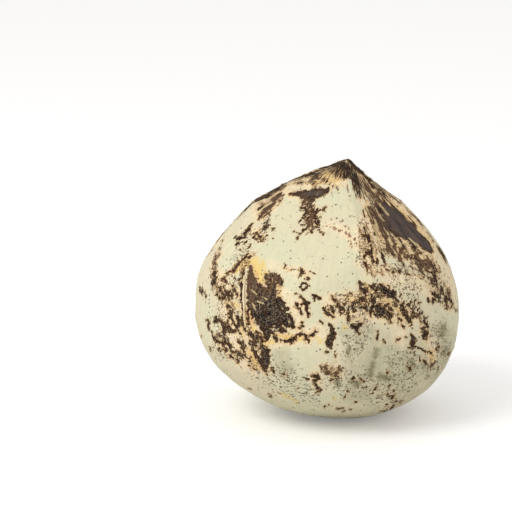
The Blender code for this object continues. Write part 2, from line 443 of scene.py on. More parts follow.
# %% Char on the front and on the right
GREAT_CHAR = {
    "brown_flank": ((250, 266, 1.4), (251, 275, 3.6), (252.5, 285, 5.6), (253.5, 296, 6.4),
        (256, 307, 6.4)),
    "between": ((260, 285, 2.4), (262, 292, 5.0), (262, 300, 6.0)),
    "shoulder": ((271, 277, 2.8), (272, 284, 5.0), (270, 293, 6.0), (268, 301, 7.6)),
    "shoulder_top": ((267, 273, 2.0), (272, 275, 3.4), (277, 278, 3.6), (281, 283, 2.4)),
    "shoulder_left": ((265, 276, 1.0), (267, 284, 2.0)),
    "heart_left": ((254, 303, 6.4), (257, 311, 6.6), (260, 320, 5.6)),
    "heart": ((268, 304, 8.6), (272, 312, 9.6), (271, 320, 7.6)),
    "lobe_high": ((278, 304, 6.4), (284, 309, 4.0), (288, 309, 1.4)),
    "lobe_low": ((280, 316, 6.4), (286, 321, 6.2), (291, 325, 3.8), (293, 328, 2.0)),
    "tail": ((265, 322, 5.0), (267, 330, 4.2), (267, 336, 3.2), (265, 341, 1.2)),
    "lower_left": ((257, 316, 2.6), (261, 324, 2.6), (263, 331, 1.8)),
    "lower_edge": ((276, 325, 3.6), (281, 329, 2.6), (285, 331, 1.8)),
    # a dark line painted as the splinter's shadow on its right
    "splinter_shadow_right": ((248, 272, 0.7), (247.6, 292, 1.3), (247.6, 325, 1.1)),
    "gap_high": ((250, 300, 2.0), (251, 308, 2.4), (252, 316, 2.2)),
    "curl_a": ((256, 331, 0.9), (260, 333, 1.3), (262, 338, 1.0)),
    "curl_b": ((252, 337, 0.9), (257, 338, 1.1), (261, 343, 1.0)),
    # a dark line painted as the splinter's shadow on its left
    "splinter_shadow_left": ((241, 302, 0.8), (242.5, 312, 0.9), (243, 325, 1.1), (245, 331, 1.3)),
    "worm_a": ((271, 330, 1.1), (273, 335, 1.4), (276, 339, 1.5)),
    "worm_b": ((275, 329, 0.9), (281, 332, 1.2), (286, 331, 1.1)),
    "worm_c": ((276, 340, 1.3), (283, 341, 1.6), (289, 340.5, 1.8), (294, 338, 1.7)),
    "worm_d": ((294, 338, 1.0), (298, 335, 1.0), (303, 333.5, 1.1)),
    "worm_e": ((304, 335, 1.4), (307, 339, 1.9), (309, 341, 1.4)),
    "worm_f": ((309, 337, 1.0), (312, 334, 1.2), (316, 331, 1.2)),
    "worm_tail": ((292, 341, 1.0), (288, 345, 0.8)),
    "ring_left": ((300, 287, 1.0), (302, 283.5, 1.2), (306, 283.5, 1.2)),
    "ring_right": ((308, 286, 1.2), (305, 290, 1.2), (301, 289, 1.0)),
    "olive_brown": ((301, 270, 1.6), (304, 273, 1.8), (299, 277, 0.8)),
    "olive_side": ((306, 279, 1.0), (309, 279, 0.9)),
    "olive_dash": ((311, 271, 0.8), (315, 273, 0.7)),
    "cluster_ring": ((297, 303, 1.2), (296.5, 307, 1.1), (299, 310, 1.4), (301, 305, 1.0)),
    "cluster_low": ((299, 311, 1.4), (301, 314, 1.6)),
    "cluster_body": ((304, 303, 1.9), (307, 303, 2.6), (307, 308, 1.9)),
    "cluster_leg": ((307, 309, 1.8), (308.5, 313, 1.6), (308, 317, 1.0)),
    "cluster_top": ((301, 296, 0.9), (304, 300, 1.0)),
    "cluster_dot": ((296, 293, 0.9), (296.5, 293, 0.9)),
    "lone_dot": ((302, 322, 0.9), (302, 322.5, 0.9)),
    "triangle": ((300, 328, 1.0), (302, 327, 1.5)),
    "comma": ((313, 295, 2.0), (316, 297, 1.8), (314, 303, 0.9)),
    "comma_side": ((317, 298, 1.0), (319, 298, 0.9)),
    "dots_over_a": ((284, 264, 0.7), (285, 267, 0.7)),
    "dots_over_b": ((291, 269, 0.8), (292, 269, 0.6)),
    "dash_middle": ((320, 321, 1.0), (323, 323, 1.0)),
}
RIGHT_CHAR = {
    "upper_a": ((363, 177, 1.2), (372, 186, 0.8)),
    "upper_b": ((368, 180, 1.2), (378, 190, 0.8)),
    "upper_c": ((364, 184, 2.2), (369, 190, 2.2), (373, 195, 1.0)),
    "upper_d": ((373, 184, 1.0), (384, 196, 0.8)),
    "upper_e": ((366, 193, 1.1), (376, 203, 1.1)),
    "upper_f": ((377, 194, 2.0), (381, 200, 2.2), (386, 206, 1.4)),
    "upper_g": ((372, 202, 0.9), (380, 212, 0.9)),
    "upper_h": ((380, 187, 0.9), (390, 198, 0.8)),
    "upper_i": ((384, 196, 0.8), (396, 207, 0.8)),
    "streaky_high": ((368, 208, 2.6), (375, 214, 4.2), (381, 221, 5.0)),
    "streaky_low": ((381, 221, 5.0), (387, 228, 5.0), (390, 234, 3.4)),
    "streak_a": ((370, 212, 0.9), (374, 222, 1.1), (376, 234, 0.8)),
    "streak_b": ((380, 224, 1.0), (383, 237, 1.2)),
    "streak_c": ((386, 235, 1.8), (389, 243, 2.0), (389, 250, 2.6)),
    "streak_d": ((365, 226, 0.8), (368, 236, 0.9)),
    "purple": ((366, 235, 1.6), (368, 240, 1.6)),
    "ridge_b": ((360, 229, 0.7), (363, 236, 0.9)),
    "ridge_c": ((367, 249, 0.8), (365, 256, 0.9)),
    "ridge_d": ((368, 238, 1.1), (369, 252, 0.8)),
    "ridge_e": ((372, 246, 0.9), (373, 262, 0.8)),
    "ridge_f": ((376, 250, 0.8), (377, 264, 0.9)),
    "ridge_g": ((366, 262, 0.9), (367, 272, 0.8)),
    "ridge_i": ((371, 268, 0.8), (374, 276, 0.8)),
    "upper_fill": ((371, 196, 2.2), (378, 204, 3.2), (385, 213, 3.2)),
    "mottle_a": ((393, 236, 2.4), (395, 244, 1.8), (394, 253, 2.4)),
    "mottle_b": ((400, 238, 1.8), (405, 246, 1.6), (401, 253, 2.2), (402, 261, 2.2)),
    "mottle_c": ((405, 255, 1.6), (411, 257, 2.4), (417, 258, 1.8)),
    "mottle_d": ((418, 262, 2.2), (426, 262, 3.2), (434, 265, 2.4)),
    "mottle_e": ((421, 266, 2.2), (422, 271, 1.8)),
    "mottle_f": ((383, 253, 1.6), (385, 263, 1.9)),
    "mottle_g": ((414, 246, 1.8), (420, 253, 1.6)),
    "mottle_h": ((428, 267, 1.6), (431, 272, 1.4)),
    "leaf": ((381, 285, 1.8), (385, 289, 4.2), (391, 293, 4.8), (393, 296, 3.2)),
    "leaf_tail": ((394, 297, 1.6), (397, 301, 1.3), (401, 304, 1.0)),
    "dark_a": ((373, 296, 1.8), (375, 301, 2.4), (373, 306, 1.8), (372, 316, 0.9)),
    "dark_b": ((363, 298, 2.0), (367, 302, 1.6)),
    "dark_c": ((362, 307, 1.8), (366, 309, 2.4)),
    "dark_d": ((360, 283, 1.6), (363, 284, 1.4)),
    "dark_e": ((377, 290, 1.1), (377, 291, 1.0)),
    "dark_f": ((379, 306, 2.8), (383, 311, 4.4), (379, 315, 3.0)),
    "dark_high": ((361, 287, 2.0), (366, 293, 2.6), (368, 297, 1.4)),
    "dark_higher": ((372, 286, 1.2), (376, 290, 1.6)),
    "dark_g": ((385, 312, 2.4), (388, 314, 2.6), (391, 318, 2.0)),
    "dark_h": ((385, 306, 0.9), (389, 306, 1.0)),
    "curved_tail": ((404, 304, 1.4), (403, 310, 1.9), (405, 314, 1.8), (408, 319, 1.4), (412, 326, 0.6)),
    "near_tail": ((401, 318, 1.3), (402, 319.5, 1.2)),
    "knot": ((409, 304, 1.5), (413, 301.5, 0.9)),
    "hatch": ((412, 309, 1.4), (413, 312, 1.6), (411.5, 316, 0.9)),
    "pip_a": ((419, 309.5, 1.0), (421, 311, 1.0)),
    "pip_b": ((416, 299, 1.1), (416, 301, 1.1)),
    "pip_c": ((419, 303, 1.1), (420, 303, 1.0)),
    "pip_d": ((401, 295, 1.1), (401, 296, 1.0)),
    "pip_e": ((403, 325, 1.2), (405, 327, 1.2)),
    "pip_f": ((391, 320, 1.0), (391.5, 322, 0.8)),
    "pip_g": ((415, 305, 0.8), (417, 307, 0.8)),
    "pip_h": ((416, 313, 0.8), (418, 315.5, 0.8)),
    "chain_top": ((427.5, 316, 1.1), (425, 319, 1.4), (421, 321.5, 0.8)),
    "chain_middle": ((425, 320, 1.1), (427.5, 327, 1.4)),
    "chain_low": ((424, 329, 2.2), (425, 333, 1.8), (424.5, 337, 2.2), (427, 339.5, 1.2)),
    "chain_barb": ((421.5, 333.5, 0.8), (428, 331.5, 0.8)),
    "forked": ((412, 335, 1.6), (414.5, 337, 2.0), (415, 342, 2.4), (413.5, 348, 2.2)),
    "forked_foot": ((410.5, 348.5, 1.0), (413, 350, 0.9)),
    "forked_tail": ((416, 345.5, 1.2), (420, 349, 1.1), (425, 350.5, 1.0), (428, 351.5, 0.8)),
    "far_a": ((432, 263, 1.6), (436, 267, 1.4), (435, 274, 1.4)),
    "far_b": ((431, 278, 1.0), (437, 283, 1.6), (439, 289, 1.2)),
    "far_c": ((436, 294, 2.0), (440, 297, 2.4)),
    "far_d": ((429, 298, 1.3), (430, 302, 1.1)),
    "far_e": ((434, 299, 1.7), (433, 303, 1.1)),
    "far_f": ((438, 301, 1.0), (441, 303, 1.0)),
    "far_g": ((443, 289, 1.0), (446, 297, 1.0)),
    "far_h": ((446, 297, 0.9), (447.5, 308, 0.8)),
    "far_i": ((449, 290, 0.9), (450, 297, 1.0), (453, 305, 0.8)),
    "far_j": ((452, 308, 0.9), (453, 309, 0.8)),
    "far_k": ((456, 309, 0.9), (457, 312, 0.8)),
    "rim_a": ((439, 246, 2.0), (448, 258, 2.8), (450, 262, 2.0)),
    "rim_b": ((412, 211, 1.3), (419, 219, 1.3)),
    "rim_c": ((429, 231, 1.3), (435, 240, 1.3)),
    "side_a": ((431, 367, 1.1), (435, 362, 1.3)),
    "side_b": ((425, 362, 1.3), (427, 364, 1.2)),
    "side_c": ((421, 358, 0.8), (421, 361, 0.8)),
    "side_d": ((437.5, 351, 0.8), (440, 347.5, 1.0)),
    "side_e": ((430, 352, 0.8), (432, 354, 0.8)),
    "side_f": ((397, 341.5, 1.2), (399, 339.5, 0.8)),
    "side_g": ((384.5, 342, 0.9), (384.5, 342.5, 0.9)),
    "side_h": ((449, 353, 1.0), (448, 355, 0.8)),
    "side_i": ((407, 338, 0.9), (406, 338, 0.8)),
}
LOW_CHAR = {
    "black_oblong_high": ((329, 324, 1.0), (332, 328, 2.6), (332, 333, 3.2)),
    "black_oblong_low": ((332, 333, 3.2), (330, 340, 3.4), (329, 345, 3.0), (331, 348, 1.2)),
    "lump_dark": ((352.5, 326, 2.0), (356, 327, 3.4), (361, 324, 2.4)),
    "lump_low": ((357, 329, 2.8), (358, 331.5, 1.4)),
    "middle_a": ((349, 309, 1.2), (349, 320, 0.9)),
    "middle_b": ((340, 309, 1.1), (344, 309, 1.1)),
    "middle_c": ((352, 306, 1.4), (354, 311, 1.6)),
    "middle_d": ((334, 297, 1.1), (334, 300, 0.9)),
    "middle_e": ((336, 301, 0.9), (336, 307, 0.8)),
    "middle_f": ((323, 308, 1.0), (326, 311, 0.9)),
    "middle_g": ((326, 313, 0.9), (333, 317, 0.9)),
    "middle_h": ((378, 331, 0.8), (378, 341, 0.7)),
    "small_patch_high": ((313, 375, 1.2), (317, 376, 2.2), (318, 380, 1.8)),
    "small_patch_low": ((315, 381, 1.4), (314.5, 384, 1.2), (317.5, 388, 1.8), (318, 391, 1.2)),
    "small_patch_foot": ((317, 392, 0.9), (321, 390, 1.0)),
    "brown_a": ((320, 367, 1.0), (324, 369, 1.4), (325, 371, 1.0)),
    "brown_b": ((339, 367, 1.2), (337, 371, 1.5)),
    "brown_c": ((333, 376.5, 0.9), (337, 375.5, 1.1)),
    "brown_d": ((333, 380, 1.0), (332, 380, 0.8)),
    "brown_e": ((341, 370, 0.9), (344, 368, 0.7)),
    "brown_f": ((326, 351, 1.1), (327, 352, 0.9)),
    "brown_g": ((334.5, 352, 0.8), (334.5, 357, 0.8)),
    "brown_h": ((330, 372, 0.9), (326, 375, 0.7)),
    "green_blob": ((283, 375, 1.0), (287, 376.5, 0.8)),
    "low_a": ((268, 395, 0.6), (271, 397, 0.6)),
    "low_b": ((303, 377, 0.5), (309, 380.5, 0.6)),
    "low_c": ((337, 410, 0.9), (343, 408.5, 0.7)),
    "low_d": ((343, 413, 0.8), (345, 411.5, 0.7)),
    "low_e": ((324, 408, 0.9), (325, 408, 0.8)),
    "low_f": ((329, 405, 0.6), (332, 407, 0.6)),
    "low_g": ((355, 402, 0.8), (357, 403, 0.6)),
    "low_h": ((350, 410, 0.6), (351, 410, 0.6)),
    "low_i": ((353, 378, 1.2), (353, 380, 1.1)),
    "low_j": ((360, 380, 0.8), (363, 382, 0.8)),
    "low_k": ((387.5, 373, 1.1), (388, 373, 1.0)),
    "low_l": ((390, 386, 0.9), (389.5, 387, 0.8)),
    "low_m": ((395, 389.5, 0.9), (393, 393, 0.8)),
    "low_n": ((393, 402.5, 0.8), (396, 400.5, 0.8), (397, 402, 0.8)),
    "low_o": ((399, 403, 0.7), (402, 402, 0.7)),
    "low_p": ((391, 410, 0.9), (394, 406, 0.7)),
    "low_q": ((380, 412, 0.7), (388, 412, 0.9)),
    "low_r": ((297, 390, 0.7), (297.5, 390, 0.6)),
    "low_s": ((248, 388, 0.8), (250, 389, 0.7)),
    "low_t": ((377, 386, 0.5), (376, 390, 0.6), (373, 393, 0.5)),
    "low_u": ((348, 391, 0.5), (344, 397, 0.6)),
    "low_v": ((385, 406, 0.8), (388, 405, 0.6)),
    "low_w": ((391, 398, 0.7), (395, 396, 0.7)),
    "low_x": ((388, 394, 0.6), (389, 396, 0.6)),
    "low_y": ((409, 368, 1.1), (411.5, 370, 1.2)),
    "low_z": ((381, 395, 0.6), (382, 396, 0.6)),
}
CHAR = {}
for where, table in {
    "tip": TIP_CHAR, "left top": LEFT_TOP_CHAR, "branched": BRANCHED_CHAR, "left": LEFT_FLANK_CHAR,
    "great": GREAT_CHAR, "right": RIGHT_CHAR, "low": LOW_CHAR,
}.items():
    CHAR.update({f"{where} {name}": stops for name, stops in table.items()})
print("char strokes:", len(CHAR))

# %% [markdown]
# Next to the char come the milder marks. They are drawn with broad brushes, because their edges are soft.

# %% Smooth grey burns, toasting, yellowing, red spots and smudges
SLATE = {
    "smooth_high": ((384, 204, 2.6), (390, 209, 5.0), (397, 215, 6.0), (405, 222, 6.4)),
    "smooth_low": ((405, 222, 6.4), (412, 230, 6.6), (419, 238, 6.0), (426, 245, 4.6), (430, 249, 2.2)),
    "smooth_inner": ((387, 214, 4.4), (393, 223, 6.4), (401, 230, 6.6), (410, 235, 5.8), (418, 242, 4.4)),
    "smear_tail": ((289, 193, 1.0), (297, 193.5, 2.0), (304, 193.5, 3.4)),
    "smear": ((304, 193.5, 3.6), (312, 193.5, 4.6), (320, 193, 4.2), (328, 189.5, 2.0)),
}
TOAST = {
    "tip": ((322, 171, 4), (333, 172, 6), (345, 172, 6)),
    "below_tip": ((324, 180, 5), (334, 181, 6), (342, 182, 4)),
    "left_rim": ((318, 179, 5), (306, 181, 5), (294, 184, 4.5), (286, 189, 3.5)),
    "over_smear": ((288, 193, 3), (296, 198, 3)),
    "streaky": ((276, 200, 4), (266, 208, 6), (258, 216, 4)),
    "rim_wedge": ((284, 188, 3), (268, 198, 4), (252, 208, 3)),
    "right_rim": ((355, 170, 5), (368, 182, 6), (384, 196, 6)),
    "right_rim_low": ((384, 194, 7), (402, 208, 7), (420, 224, 8), (434, 244, 8), (445, 262, 5)),
    "right_of_slate": ((398, 222, 8), (416, 244, 8), (432, 256, 7)),
    "right_face": ((362, 196, 3), (370, 212, 6), (374, 232, 8), (371, 256, 10), (371, 272, 8)),
    "right_face_edge": ((366, 216, 5), (361, 226, 5), (358, 240, 5), (366, 248, 5), (361, 262, 5)),
    "right_band": ((384, 240, 7), (402, 250, 9), (424, 258, 9), (436, 268, 7)),
    "right_lower": ((384, 272, 7), (400, 280, 8), (416, 284, 9), (434, 290, 9)),
    "middle_band": ((326, 300, 5), (344, 300, 8), (362, 296, 9), (384, 304, 10), (404, 312, 8)),
    "middle_low": ((330, 316, 5), (352, 316, 6), (376, 316, 6), (400, 322, 7), (416, 318, 6)),
    "right_clean": ((400, 334, 7), (402, 343, 5)),
    # toast on the right edge, partly painted light that lifts its shaded side
    "right_edge_with_painted_light": ((446, 272, 8), (452, 290, 8), (450, 306, 6)),
    "right_fork": ((424, 330, 5), (432, 344, 5), (433, 356, 4)),
    "left_rim_streaks": ((226, 236, 3), (219, 248, 4), (213, 260, 4)),
    "left_flank": ((216, 272, 5), (222, 286, 7), (230, 296, 8)),
    "left_scar": ((228, 276, 3), (238, 266, 4), (250, 258, 4)),
    "left_middle": ((222, 306, 6), (228, 320, 8), (228, 334, 8)),
    "left_low": ((222, 344, 6), (234, 350, 8), (246, 356, 8)),
    "left_lowest": ((238, 364, 4), (252, 368, 5), (266, 370, 4)),
    "great_left": ((242, 300, 3), (246, 330, 5), (256, 340, 7), (262, 350, 6)),
    "great_right": ((284, 292, 4), (292, 304, 5), (299, 318, 5), (299, 330, 5)),
    "great_below": ((268, 344, 5), (288, 338, 8), (304, 336, 9), (320, 330, 7)),
    "great_top": ((270, 266, 4), (284, 268, 3), (306, 273, 5)),
    "cluster": ((300, 302, 5), (306, 312, 4)),
    "branches": ((304, 202, 4), (312, 214, 5), (308, 226, 5)),
    "spotted_face": ((328, 224, 3), (340, 228, 4), (350, 238, 4), (356, 246, 3)),
    "patch_by_spot": ((322, 336, 4), (320, 342, 3)),
    "low_brown": ((322, 368, 4), (334, 370, 6), (338, 378, 4)),
    "low_patch": ((315, 374, 3), (317, 392, 3)),
    "speckle_low": ((256, 232, 4), (262, 238, 3)),
}
OCHRE = {
    "flame": ((254, 260, 3.6), (257, 267, 5.4), (259, 274, 5.0), (261, 281, 3.2)),
    "flame_side": ((262, 262, 2.2), (265, 272, 2.2)),
    "scar_wedge": ((234, 270, 2.4), (244, 264, 4.0), (253, 259, 3.4)),
    "tip_edge": ((314, 177, 2.6), (328, 174, 4.2), (341, 172, 4.0)),
    "tip_below": ((314, 182, 2.0), (326, 180, 3.0), (340, 178, 3.0)),
    "right_streak": ((360, 174, 1.2), (372, 186, 1.5), (380, 194, 1.4)),
    "right_threads": ((389, 200, 1.0), (404, 213, 1.3), (420, 229, 1.2), (432, 244, 1.2)),
    "right_low_threads": ((366, 204, 1.0), (374, 222, 1.2), (382, 240, 1.2)),
    "worm_glow": ((274, 334, 2.2), (290, 338, 3.0), (310, 337, 2.2)),
    "great_halo": ((279, 286, 2.2), (279, 298, 1.8)),
    "great_chin": ((258, 334, 2.4), (266, 344, 2.6), (272, 342, 1.6)),
    "great_gap": ((250, 314, 2.4), (252, 324, 2.8), (257, 334, 2.0)),
    "flame_edge": ((261, 286, 0.7), (262, 290, 0.6), (257, 297, 0.6), (253, 304, 0.7)),
    "left_strip": ((242, 322, 1.2), (242, 336, 1.4)),
    "left_pool": ((228, 302, 2.2), (236, 306, 2.4)),
    "left_pool_low": ((248, 350, 2.2), (254, 362, 3.0), (258, 369, 2.0)),
    "left_thread": ((222, 290, 1.6), (216, 290, 1.2)),
    "leaf_side": ((384, 300, 1.5), (388, 301, 2.4), (392, 304, 1.8)),
    "band_left": ((350, 298, 1.4), (358, 301, 2.0), (364, 304, 1.2)),
    "band_high": ((365, 282, 1.2), (369, 288, 1.8), (371, 292, 1.4)),
    "band_right": ((396, 307, 1.8), (401, 314, 2.0), (399, 320, 1.2)),
    "patch_by_spot": ((318, 338, 1.8), (320, 343, 1.6)),
    "middle_dot": ((345, 327, 1.3), (345.5, 327, 1.2)),
    "low_dot": ((280, 395, 0.9), (284, 396, 1.5), (288, 396, 0.9)),
    "low_dot_right": ((334.5, 398, 1.3), (334.5, 399, 1.2)),
    "fork_pool": ((431, 352, 1.6), (432, 360, 2.2)),
    "low_thread": ((289, 397, 0.8), (297, 403, 0.8)),
}
RUST = {
    "a": ((331, 219, 0.9), (332, 219, 0.8)),
    "b": ((341, 218, 1.1), (342, 221, 0.9)),
    "c": ((327, 226, 0.8), (332, 228, 0.9), (339, 230, 1.0), (345, 230, 0.8)),
    "d": ((346, 232, 1.3), (349, 236, 1.6), (348, 239, 1.0)),
    "e": ((346, 225, 1.1), (348, 227, 1.0)),
    "f": ((354, 239, 1.2), (355, 241, 1.0)),
    "g": ((351, 243, 0.9), (349, 245, 0.7)),
    "h": ((347, 184, 0.7), (348, 190, 0.6)),
    "i": ((341, 208, 0.7), (341.5, 209, 0.6)),
    "j": ((352, 215, 0.7), (347, 217, 0.7)),
    "k": ((335, 227, 0.7), (337, 229, 0.7)),
    "l": ((382, 271, 1.5), (383, 276, 1.6)),
    "m": ((365, 263, 1.8), (368, 267, 2.2)),
    "n": ((359, 231, 1.2), (359, 238, 1.2)),
    "o": ((217, 281, 1.1), (217, 284, 0.9)),
    "p": ((352, 247, 0.8), (357, 243, 0.8)),
    "q": ((366, 222, 0.9), (369, 234, 1.2)),
}
SMUDGE = {
    "left_of_pair": ((373, 364, 2.2), (372, 370, 1.6), (371, 376, 2.6)),
    "right_of_pair": ((381, 377, 2.4), (386, 378, 2.8), (390, 378, 1.8)),
    "faint_a": ((353, 382, 2.0), (358, 384, 2.4), (361, 382, 1.4)),
    "faint_b": ((348, 348, 1.4), (349, 354, 1.4)),
    "faint_c": ((378, 350, 1.2), (375, 358, 1.4)),
    "faint_d": ((408.5, 367, 1.4), (411.5, 369, 1.4), (418, 367, 1.0)),
    "faint_e": ((413, 362, 1.4), (414, 365, 1.2)),
    "faint_f": ((425, 365, 1.4), (424, 367, 1.2)),
    "faint_g": ((442, 336, 1.0), (443, 326, 1.4)),
    "faint_h": ((444, 353, 1.8), (446, 349, 1.2)),
    "faint_i": ((335, 374, 4.0), (338, 382, 3.0)),
    "left_edge": ((214, 286, 1.6), (213, 288, 1.4)),
}
PALE = {
    "hair_a": ((250, 290, 0.7), (255, 294, 0.7)),
    "hair_b": ((256, 301, 0.8), (264, 304, 0.7)),
    "hair_c": ((261, 296, 0.7), (266, 299, 0.7)),
    "hair_d": ((251, 303, 0.7), (255, 311, 0.6)),
    "hair_e": ((230, 289, 0.7), (238, 283, 0.8), (243, 277, 0.7)),
    "chip_a": ((273, 326, 0.8), (273.5, 326, 0.7)),
    "chip_b": ((281, 308, 0.9), (282, 309, 0.7)),
    "chip_c": ((288, 321, 0.8), (288, 322, 0.7)),
    "lump_top": ((352, 321, 1.0), (357, 319, 1.3), (362, 318, 0.8)),
    "right_stripe": ((375, 224, 1.0), (378, 238, 1.0), (380, 250, 0.9)),
    "right_a": ((405, 238, 0.8), (408, 243, 0.8)),
    "right_b": ((410, 238, 0.9), (419, 246, 0.9)),
    "left_curl_a": ((224, 300, 0.7), (229, 303, 0.9), (232, 308, 0.7)),
    "left_curl_b": ((234, 298, 0.6), (238, 303, 0.8), (238, 311, 0.7)),
    "right_c": ((396, 241, 0.8), (404, 243, 0.7)),
    "right_e": ((377, 209, 0.7), (384, 220, 0.8)),
    "right_f": ((373, 214, 0.6), (379, 228, 0.8)),
    "right_g": ((384, 226, 0.7), (392, 238, 0.8)),
    "right_h": ((380, 203, 0.7), (389, 214, 0.7)),
    "right_i": ((391, 246, 0.8), (398, 255, 0.7)),
    "right_j": ((366, 190, 0.6), (375, 202, 0.7)),
    "right_d": ((366, 205, 0.8), (372, 218, 0.8)),
    "low": ((331, 364, 0.8), (336, 362, 0.8)),
}
MOTTLE = {
    "right_high": ((362, 182, 6), (370, 196, 8), (378, 208, 9), (386, 224, 9)),
    "right_upper": ((374, 184, 5), (388, 198, 5)),
    "right_streaky": ((372, 214, 7), (388, 236, 8)),
    "right_band": ((364, 246, 8), (386, 244, 12), (404, 250, 13), (428, 262, 12)),
    "right_below": ((380, 268, 8), (400, 268, 7), (432, 276, 8)),
    "right_far": ((434, 270, 10), (439, 288, 12), (447, 303, 8)),
    "middle_band": ((344, 305, 8), (356, 300, 13), (370, 299, 17), (386, 305, 16), (402, 312, 13)),
    "middle_high": ((364, 290, 7), (376, 286, 6)),
    "middle_left": ((328, 308, 5), (340, 312, 7)),
    "middle_right": ((408, 306, 9), (420, 314, 8)),
    "chain": ((424, 318, 4), (425, 336, 5)),
    "left_flank": ((214, 258, 4.5), (214, 286, 5), (228, 294, 6)),
    "left_middle": ((232, 308, 4), (230, 320, 5), (222, 334, 4), (232, 350, 4), (244, 356, 4.5)),
    "great_left": ((248, 330, 4), (258, 348, 5)),
    "branches": ((304, 204, 7), (308, 216, 9), (310, 228, 7)),
    "shoulder": ((270, 276, 7), (276, 284, 9), (274, 296, 9)),
    "tip": ((320, 172, 5), (334, 170, 7), (346, 169, 8), (358, 184, 6)),
    "tip_band": ((296, 183, 3), (316, 180, 4), (334, 180, 4)),
    "low_brown": ((324, 368, 7), (336, 374, 7)),
    "streaky": ((266, 208, 8), (262, 238, 7)),
}
SPECKLE = {
    "ridge": ((362, 222, 5), (368, 240, 10), (362, 256, 7), (370, 268, 9)),
    "lower_right": ((388, 394, 24), (404, 380, 20)),
    "lower_left": ((262, 370, 16), (290, 384, 18), (310, 396, 14)),
    "right_side": ((440, 330, 12), (444, 352, 12), (430, 370, 12)),
    "right_scratches": ((400, 278, 14), (412, 292, 12)),
    "middle": ((344, 300, 14), (362, 330, 16), (350, 350, 14)),
    "low_middle": ((336, 380, 16), (366, 384, 16)),
    "left": ((246, 236, 10), (222, 310, 14), (222, 350, 12)),
    "greenish": ((396, 360, 12), (412, 358, 8)),
}
# Grime and painted shade: a greyer cream that darkens the lower part of the nut, and a painted shadow under
# the lump.
GRIME_AND_SHADE = {
    "lower_right": ((370, 364, 17), (402, 370, 20)),
    "right_side": ((442, 336, 10), (432, 366, 16)),
    # a painted shadow under the lump
    "painted_shadow_under_lump": ((346, 334, 6), (370, 336, 6)),
    "under_great": ((280, 354, 7), (286, 370, 7)),
    "low_middle": ((352, 394, 7), (364, 395, 7)),
}
UMBER = {
    "brown_flank": ((251, 268, 5), (252, 284, 8), (254, 300, 8)),
    "shoulder": ((272, 278, 9), (270, 290, 9)),
    "streaky_right": ((368, 208, 6), (382, 222, 8), (391, 240, 8)),
    "right_band": ((384, 246, 8), (402, 254, 9), (428, 264, 8)),
    "left_top": ((276, 197, 5), (264, 212, 6)),
    "low": ((322, 368, 6), (338, 372, 6)),
    "branches": ((304, 199, 4), (310, 206, 3), (310, 228, 4)),
    "upper_right": ((364, 184, 5), (378, 200, 6)),
}
seen_burns = {
    "char": CHAR, "slate": SLATE, "toast": TOAST, "ochre": OCHRE, "rust": RUST, "smudge": SMUDGE,
    "pale": PALE, "mottle": MOTTLE, "speckle": SPECKLE, "grime_and_shade": GRIME_AND_SHADE, "umber": UMBER,
}
print("strokes:", {name: len(strokes) for name, strokes in seen_burns.items()})

# %% [markdown]
# The strokes now leave the picture and land on the skin. On the side that the eye sees, a corner of the
# mesh is compared with a stroke in the picture itself: both are flat there, so every mark comes out as
# wide as it was read, also where the skin slants away. Round the edge of the nut that would smear, so
# each stroke is also laid on the skin as a chain of round-ended cones in space, and the corners that face
# sideways use that.

# %% Strokes in the picture and on the skin
LONGEST_STEP = 6   # pixels


def in_picture(strokes):
    """Chains of (points, half widths) in the picture plane, in metres, for a table of named strokes."""
    chains = []
    for stops in strokes.values():
        stops = np.array(stops, float) * PIXEL
        chains.append((stops[:, :2], stops[:, 2]))
    return chains


def on_skin(strokes):
    """The same strokes as chains in space. Long steps are cut short, so that they hug the nut."""
    chains = []
    for stops in strokes.values():
        points, widths = [], []
        for (x0, y0, w0), (x1, y1, w1) in zip(stops, stops[1:]):
            steps = max(1, int(np.hypot(x1 - x0, y1 - y0) / LONGEST_STEP))
            for share in np.arange(steps) / steps:
                points.append(skin_at(x0 + (x1 - x0) * share, y0 + (y1 - y0) * share))
                widths.append((w0 + (w1 - w0) * share) * PIXEL)
        points.append(skin_at(*stops[-1][:2]))
        widths.append(stops[-1][2] * PIXEL)
        chains.append((np.array(points), np.array(widths)))
    return chains


print("longest char stroke, stops:", max(map(len, CHAR.values())))

# %% [markdown]
# The photograph shows half of the nut. The other half was roasted in the same fire, so it gets burns of
# the same kinds, made up by a seeded random hand: streaks that run down from the tip, a few large burns
# with crumbs round them, small marks everywhere, and toasted ground under them all. Each one is walked
# over the skin, mostly along the fibres. What lies just behind the tip looks upwards and is still out of
# sight, so it counts as the far side too, and it gets marks that run straight down from the tip.

# %% Burns on the unseen side
FIRE_SEED = 11
SIDE_FACING = 0.02
NEAR_TIP = 0.100      # above this height, what lies this far behind the tip is out of sight
BEHIND_TIP = 0.002
FAR_TURNS = (70, 290)     # degrees round the nut
WALK_STEP = 0.0025        # how far apart the stops of a walk are, and how far they are from the middle
WALK_RADIUS = 0.060
WALK_RISES = (-70, 84)
LEAST_GIRTH = 0.15
TIP_STOPS = 6
TIP_SLOPE = 0.7
hand = np.random.default_rng(FIRE_SEED)
unseen_burns = {name: [] for name in seen_burns}


def walk(turn, rise, length, width, wander=0.35, along_fibres=0.8):
    """A chain that starts at a turn and rise and wanders over the skin. Lengths in metres."""
    steps = max(2, int(length / WALK_STEP))
    heading = hand.normal(0, 1 - along_fibres) + (np.pi if hand.random() < 0.5 else 0)
    turns, rises = [turn], [rise]
    for _ in range(steps):
        heading += hand.normal(0, wander)
        step = np.degrees(WALK_STEP / WALK_RADIUS)
        rises.append(np.clip(rises[-1] - step * np.cos(heading), *WALK_RISES))
        turns.append(turns[-1] + step * np.sin(heading) / max(np.cos(np.radians(rises[-1])), LEAST_GIRTH))
    points = coconut_form(direction(np.array(turns), np.array(rises)).T)
    taper = np.sin(np.linspace(0.35, np.pi - 0.25, len(points)))
    return points, width * taper * hand.uniform(0.75, 1.25, len(points))


